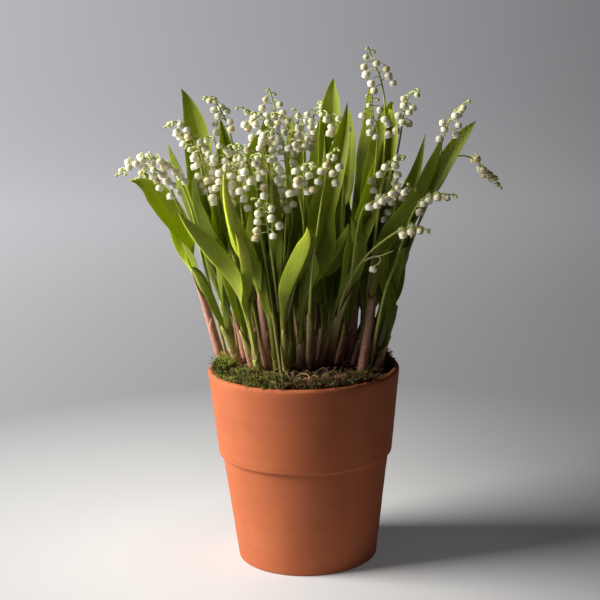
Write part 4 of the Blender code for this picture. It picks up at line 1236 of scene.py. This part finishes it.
def add_raceme(stems, petals, path, hang, source, extent, cream):
    """Buds at the tip, then bells that grow larger down the stalk, each on a curved stem with a bract."""
    reached = lengths_along(path)
    tangents = unit(np.gradient(path, axis=0))
    distance = TIP_MARGIN
    index = 0
    while distance < extent:
        at = sampled(reached[-1] - distance, reached, path)
        heading = unit(sampled(reached[-1] - distance, reached, tangents))
        grown = min(1.0, index / (BUDS + 2.5))
        size = (BELL_SIZE_AT_TIP + BELL_SIZE_GAIN * grown) * source.uniform(*BELL_SIZES)
        out, crest, top = placed_bell(source, at, heading, math.radians(hang), index, grown, size)
        tilt = np.array((source.uniform(*BELL_TILT), source.uniform(*BELL_TILT), -1.0))
        axis = unit(tilt + out * source.uniform(*BELL_LEAN))
        curve = catmull_rom([at, at + (crest - at) * 0.5 + np.array((0, 0, 0.5 * grown)), crest, top], 3)
        radii = np.linspace(PEDICEL_RADIUS * 1.15, PEDICEL_RADIUS * 0.9, len(curve))
        stems.add_rings(tube_rings(curve, radii, PEDICEL_SIDES), blended(STALK_TINT, PETAL_TOP_TINT, 0.45))
        bract = source.uniform(*BRACT_LENGTHS) * (0.6 + 0.4 * grown)
        add_bract(stems, at, unit(out - heading * 0.3), heading, bract, blended(STALK_TINT, BRACT_TINT, 0.6))
        turn = source.uniform(*ANY_TURN)
        if index < BUDS:
            bud = blended(BUD_TINT, PETAL_TINT, 0.2 * index)
            add_bud(petals, top, axis, size * 0.85, turn, STALK_TINT * 1.3, bud)
        else:
            opening = min(1.0, (index - BUDS + 1) / 3) * source.uniform(*BELL_OPENINGS)
            white = blended(BUD_TINT, PETAL_TINT, min(1.0, 0.55 + 0.2 * (index - BUDS)))
            faded = FADED if source.random() < FADED_SHARE else cream * source.uniform(*CREAM_SPREAD)
            white = blended(white, CREAM_TINT, faded)
            add_bell(petals, top, axis, size, turn, opening, blended(PETAL_TOP_TINT, white, 0.45), white)
        distance += (BUD_PITCH if index < BUDS else PITCH) * source.uniform(*PITCH_SPREAD)
        index += 1


def stalk_line(number):
    """The smooth path of a flower stalk, from just under the soil to its tip."""
    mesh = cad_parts[f"flower_stalk_{number:02d}"].data
    points = np.array([v.co for v in mesh.vertices]) / MM
    x, y, _ = points[points[:, 2] < points[:, 2].min() + 0.5].mean(0)
    level = soil_height(math.hypot(x, y))
    return np.vstack([[x, y, level - 6], catmull_rom([(x, y, level + 2), *STALKS[number][0]], 9)])


def add_side_bell(stems, petals, source):
    """The single bell on a short branch low on the fifth stalk, with the branch's papery end."""
    branch = catmull_rom(SIDE_BRANCH, 4)
    stems.add_rings(tube_rings(branch, np.linspace(0.75, 0.3, len(branch)), PEDICEL_SIDES),
                    blended(STALK_TINT, PAPERY_TINT, 0.5))
    curve = catmull_rom(SIDE_PEDICEL, 4)
    stems.add_rings(tube_rings(curve, PEDICEL_RADIUS, PEDICEL_SIDES), SIDE_PEDICEL_TINT)
    add_bell(petals, curve[-1], (-0.35, 0.0, -1.0), 0.95, source.uniform(*ANY_TURN), 1.1, PETAL_TOP_TINT, PETAL_TINT)


def build_stalks():
    stem_material = tinted_material("flower stem")
    petal_material = tinted_material("petal")
    stalks = [(f"flower_stem_{number:02d}", f"bells_{number:02d}", 100 + number, stalk_line(number), hang,
               STALK_RADII, RACEME_LENGTHS.get(number, RACEME_LENGTH), CREAM.get(number, USUAL_CREAM),
               [f"flower_stalk_{number:02d}"]) for number, (_, hang) in STALKS.items()]
    stalks += [(f"second_stem_{letter}", f"second_bells_{letter}", 200 + number, catmull_rom(points, 9), hang,
                SECOND_STALK_RADII, RACEME_LENGTH, USUAL_CREAM, ())
               for number, (letter, (points, hang)) in enumerate(SECOND_STALKS.items())]
    for stem_name, bells_name, seed, path, hang, (low_radius, tip_radius), extent, cream, nodes in stalks:
        stems, petals = Skin(), Skin()
        share = lengths_along(path) / lengths_along(path)[-1]
        radii = low_radius + (tip_radius - low_radius) * share ** 1.3
        stems.add_rings(tube_rings(path, radii, STALK_SIDES),
                        blended(STALK_FOOT_TINT, STALK_TINT, smooth_step(share, 0.05, 0.4)))
        add_raceme(stems, petals, path, hang, random.Random(seed), extent, cream)
        if seed == 100 + SIDE_BELL_STALK:
            add_side_bell(stems, petals, random.Random(150))
        stems.piece(stem_name, stem_material, "flower", nodes)
        petals.piece(bells_name, petal_material, "flower", nodes)


# Sheaths at the foot of the shoots


def shoot_line(number):
    """The foot and the neck of a shoot's joined leaf stems, from its CAD leaves."""
    outer = cad_rings(f"leaf_{number:02d}_outer")
    inner = cad_rings(f"leaf_{number:02d}_inner")
    return [(outer[k].mean(0) + inner[k].mean(0)) / 2 for k in (1, 2)]


def add_sheath(skin, path, length, radius, source, low, high, point_length, lean=0.0, turn=None):
    """A thin sleeve that hugs a stem, cut aslant at its top and drawn to a point on one side."""
    path = np.asarray(path, float)
    reached = lengths_along(path)
    frames = carried_frames(path)
    turn = source.uniform(0, FULL_TURN) if turn is None else turn
    angles = turns(SHEATH_SIDES)
    peak = np.clip(0.5 + 0.5 * np.cos(angles - turn), 0, 1) ** 1.6
    stripes = 1 + 0.14 * np.sin(angles * 3 + turn * 2) + 0.08 * np.sin(angles * 5 + turn)
    walls = []
    for wall in (0.0, SHEATH_WALL):
        rings = []
        for share in np.linspace(0, 1, SHEATH_ROWS):
            distance = (length + SHEATH_SINK) * share - SHEATH_SINK + peak * point_length * share ** 2
            inside = np.clip(distance, 0, reached[-1])
            tangent, first, second = (sampled(inside.mean(), reached, ways) for ways in frames)
            at = sampled(inside, reached, path) + tangent * (distance - inside)[:, None]
            swell = radius * (1.0 + 0.07 * math.sin(math.pi * min(1, share * 1.5)) - 0.10 * share)
            ripple = 1 + 0.03 * np.cos(3 * angles + share * 4 + turn)
            out = swell * ripple - wall + 0.25 * share ** 4 * (1 - peak) + lean * peak * share ** 3
            rings.append(at + hoop(first, second, angles, out))
        walls.append(rings)
    tints = blended(low, high, smooth_step(np.linspace(0, 1, SHEATH_ROWS), 0.15, 1.0))[:, None] * stripes[:, None]
    skin.add_rings(walls[0] + walls[1][::-1], np.concatenate([tints, tints]).reshape(-1, 3))


def build_sheaths():
    material = tinted_material("sheath")
    lines = [shoot_line(number) for number in STALKS] + [small_shoot(entry)[:2] for entry in SMALL_SHOOTS]
    for number, (foot, neck) in enumerate(lines, 1):
        source = random.Random(300 + number)
        stem = np.linalg.norm(neck - foot)
        radius = source.uniform(*SHEATH_RADII)
        low = source.choice(SHEATH_LOW_TINTS)
        high = source.choice(SHEATH_HIGH_TINTS)
        reach = source.uniform(*SHEATH_REACHES)
        if number in GREEN_SHOOTS:
            low, high, reach = STEM_TINT * (1.1, 0.95, 1.0), STEM_TINT, 0.3
        if number in PINK_SHOOTS:
            low, high, reach = SHEATH_LOW_TINTS[1], SHEATH_HIGH_TINTS[0], 1.0
        skin = Skin()
        add_sheath(skin, (foot, neck), stem * reach, radius, source, low, high, source.uniform(*SHEATH_POINTS))
        add_sheath(skin, (foot, neck), stem * reach * source.uniform(*LOW_SHEATH_REACHES),
                   radius + LOW_SHEATH_GAP, source, low, low, source.uniform(*LOW_SHEATH_POINTS))
        skin.piece(f"sheath_{number:02d}", material, "leaf")
    for number, (length, radius, low, high, point, lean, turn) in STALK_SHEATHS.items():
        skin = Skin()
        add_sheath(skin, stalk_line(number)[1:], length, radius, None, low, high, point, lean, math.radians(turn))
        skin.piece(f"stalk_sheath_{number:02d}", material, "leaf")


# Moss


def moss_surface(shape, along, turn):
    """A point of a moss ridge: along runs from -1 to 1 round the rim, turn from 0 to pi over it."""
    middle, half_sweep, radius, width, height = shape[:5]
    fullness = 0.15 + 0.85 * math.sqrt(max(0.0, 1 - along * along))
    out = radius + math.cos(turn) * width / 2 * (1 + fullness) / 2
    rise = math.sin(turn) * height * fullness * MOSS_SQUASH
    return flat_way(math.radians(middle + half_sweep * along)) * out + (0, 0, SOIL_EDGE_Z + 0.3 + rise)


def add_strand(skin, root, way, length, source, tint):
    """A moss shoot: a bent stem with small pointed leaves all round it."""
    bend = unit(shaken(source, (-1, 1), (-1, 1), (-0.8, 0.2)))
    points = [root]
    heading = unit(way)
    for _ in range(STRAND_SEGMENTS):
        heading = unit(heading + bend * STRAND_BEND)
        points.append(points[-1] + heading * length / STRAND_SEGMENTS)
    side, other = crosswise(heading, (0.1, 0.2, 1.0))
    corners = []
    for k, (point, following) in enumerate(zip(points, points[1:])):
        corners += [point + side * STRAND_HALF_WIDTH, point - side * STRAND_HALF_WIDTH, following]
        size = 1.0 + 1.1 * (1 - k / STRAND_SEGMENTS)
        for leaf in range(3):
            turn = k * 2.4 + leaf * 2.1
            out = side * math.cos(turn) + other * math.sin(turn)
            wide = unit(np.cross(out, heading)) * STRAND_LEAF_HALF_WIDTH
            start = point + (following - point) * (leaf / 3)
            corners += [start - wide, start + wide, start + out * size + heading * size * 0.9]
    faces = [(k, k + 1, k + 2) for k in range(0, len(corners), 3)]
    # Each strand is painted darker at its root and lighter at its tip: painted shade and painted light
    skin.add(corners, faces, np.asarray(tint) * np.linspace(*STRAND_PAINTED_SHADING, len(corners))[:, None])


def add_tuft(skin, shape, tones, source):
    """A tuft of moss strands that stand out from the ridge."""
    along = source.uniform(-1, 1)
    heart = moss_surface(shape, along, math.acos(source.uniform(-0.98, 0.98)))
    middle = moss_surface(shape, along, math.pi / 2) - (0, 0, TUFT_MIDDLE_DROP)
    lean = unit(unit(heart - middle) + shaken(source, TUFT_LEAN, TUFT_LEAN, TUFT_LEAN))
    tone = np.array(source.choice(tones)) * source.uniform(*TUFT_SHADES)
    tall = source.uniform(*TUFT_HEIGHTS)
    for _ in range(TUFT_STRANDS):
        offset = np.array([source.gauss(0, TUFT_SPREAD), source.gauss(0, TUFT_SPREAD), 0.0])
        way = lean + offset * 0.14 + shaken(source, STRAND_STRAY, STRAND_STRAY, STRAND_STRAY)
        root = heart + offset - (0, 0, 0.8 + 0.05 * offset.dot(offset))
        length = tall * source.uniform(*STRAND_LENGTHS)
        length += LONG_STRAND_GAIN if source.random() < LONG_STRAND_SHARE else 0.0
        end = root + unit(way) * length
        outside = math.hypot(*end[:2]) > MOSS_LIMIT and end[2] < POT_HEIGHT
        if not outside and math.hypot(*root[:2]) <= MOSS_LIMIT:
            add_strand(skin, root, way, length, source, tone * source.uniform(*STRAND_TONES))


def build_moss():
    material = tinted_material("moss")
    for name, shape in [*MOSS_CLUMPS.items(), *MOSS_PATCHES.items()]:
        source = random.Random(name)
        tones = DRY_TINTS if name in DRY_CLUMPS else MOSS_TINTS
        skin = Skin()
        ridge = np.array([[moss_surface(shape, along, turn) for turn in np.linspace(0, math.pi, MOSS_COLUMNS)]
                          for along in np.linspace(-1, 1, MOSS_ROWS)])
        ridge[..., 2] += [[MOSS_LUMP * noise.noise(Vector(place / MOSS_LUMP_SIZE)) - MOSS_SETTLE for place in row]
                          for row in ridge]
        # The mound under the strands takes the dark painted-shade tint
        skin.add_rings(ridge, MOSS_PAINTED_SHADE_TINT)
        for _ in range(shape[5] // TUFT_STRANDS):
            add_tuft(skin, shape, tones, source)
        for _ in range(shape[5] // SPILL_SHARE):
            outward = flat_way(math.radians(shape[0] + shape[1] * source.uniform(*SPILL_SWEEP)))
            root = outward * source.uniform(*SPILL_RADII) + (0, 0, source.uniform(*SPILL_HEIGHTS))
            way = outward + shaken(source, STRAND_STRAY, STRAND_STRAY, SPILL_RISE)
            add_strand(skin, root, way, source.uniform(*SPILL_LENGTHS), source,
                       np.array(source.choice(tones)) * source.uniform(*SPILL_TONES))
        skin.piece(f"{name}_tufts", material, "moss", [name] if name in MOSS_CLUMPS else ())


# Stage


def floor_material():
    """A pale floor, darker far away, with painted shade to the right, a painted glow that evens its far side, and a
    faint painted glow in the shadow.
    """
    paint = Paint("floor", 0.7)
    place = paint.node("ShaderNodeSeparateXYZ", {"Vector": paint.object_place()})
    x, y = place.outputs["X"], place.outputs["Y"]
    distance = paint.maths("SQRT", paint.maths("ADD", paint.maths("POWER", x, 2.0), paint.maths("POWER", y, 2.0)))
    away = paint.ranged(distance, FLOOR_NEAR_RADIUS * MM, FLOOR_FAR_RADIUS * MM, 0.0, 1.0)
    # Painted shade that darkens the floor towards the right
    shade = paint.ranged(x, FLOOR_SHADE_LEFT * MM, FLOOR_SHADE_RIGHT * MM, 0.0, 1.0)
    left = paint.mixed(away, rgba(FLOOR_NEAR_COLOUR), rgba(FLOOR_FAR_COLOUR))
    # Painted light: a glow that is lighter on the left, darker on the right, and grows towards the back
    fan = paint.maths("DIVIDE", x, paint.maths("ADD", y, GLOW_FAN_BACK * MM))
    glow = paint.mixed(paint.ranged(fan, -GLOW_FAN, GLOW_FAN, 0.0, 1.0), rgba(FAR_LEFT_GLOW), rgba(FAR_RIGHT_GLOW))
    # Painted light: a faint glow in the pot's cast shadow
    spot = paint.node("ShaderNodeVectorMath", {0: paint.object_place(), 1: Vector(SHADOW_GLOW_PLACE) * MM},
                      operation="DISTANCE").outputs["Value"]
    near_glow = paint.ranged(spot, 0.0, SHADOW_GLOW_RADIUS * MM, SHADOW_GLOW, 0.0)
    far_glow = paint.ranged(y, GLOW_START * MM, GLOW_FULL * MM, 0.0, 1.0, interpolation_type="SMOOTHSTEP")
    paint.set(paint.shader.inputs["Emission Color"], glow)
    paint.set(paint.shader.inputs["Emission Strength"], paint.maths("ADD", near_glow, far_glow))
    return paint.finish(paint.mixed(shade, left, rgba(FLOOR_RIGHT_SHADE_COLOUR)))


def build_stage():
    """The floor, a soft key light from the left and a low fill."""
    mesh = bpy.data.meshes.new("floor")
    points = np.concatenate([flat_ring(radius, FLOOR_SIDES, 0.0) for radius in FLOOR_RINGS])
    mesh.from_pydata((points * MM).tolist(), [], tube_faces(len(FLOOR_RINGS), FLOOR_SIDES, caps=False)
                     + [tuple(range(FLOOR_SIDES))])
    mesh.materials.append(floor_material())
    floor = placed("floor", mesh)

    lamp = bpy.data.lights.new("key", "AREA")
    lamp.shape = "SQUARE"
    lamp.size = KEY_SIZE * MM
    lamp.energy = KEY_POWER
    lamp.color = KEY_COLOUR
    key = placed("key", lamp)
    key.location = Vector(KEY_PLACE) * MM
    key.rotation_euler = (Vector(KEY_AIM) - Vector(KEY_PLACE)).to_track_quat("-Z", "Y").to_euler()

    world = bpy.data.worlds.new("fill")
    world.use_nodes = True
    background = world.node_tree.nodes["Background"]
    background.inputs["Color"].default_value = rgba(FILL_COLOUR)
    background.inputs["Strength"].default_value = FILL_STRENGTH
    bpy.context.scene.world = world
    bpy.context.scene.view_settings.view_transform = "Standard"


def build_camera():
    data = bpy.data.cameras.new("camera")
    data.lens = LENS
    data.sensor_width = SENSOR
    data.clip_end = CAMERA_REACH_M
    camera = placed("camera", data)
    turn = Matrix.Rotation(math.pi / 2 - CAMERA_PITCH, 4, "X") @ Matrix.Rotation(-CAMERA_ROLL, 4, "Z")
    camera.matrix_world = Matrix.Translation(Vector(CAMERA_PLACE) * MM) @ turn
    bpy.context.scene.camera = camera


build_camera()
build_stage()
build_pot()
build_soil()
build_crumbs()
build_moss()
build_sheaths()
build_leaves()
build_stalks()
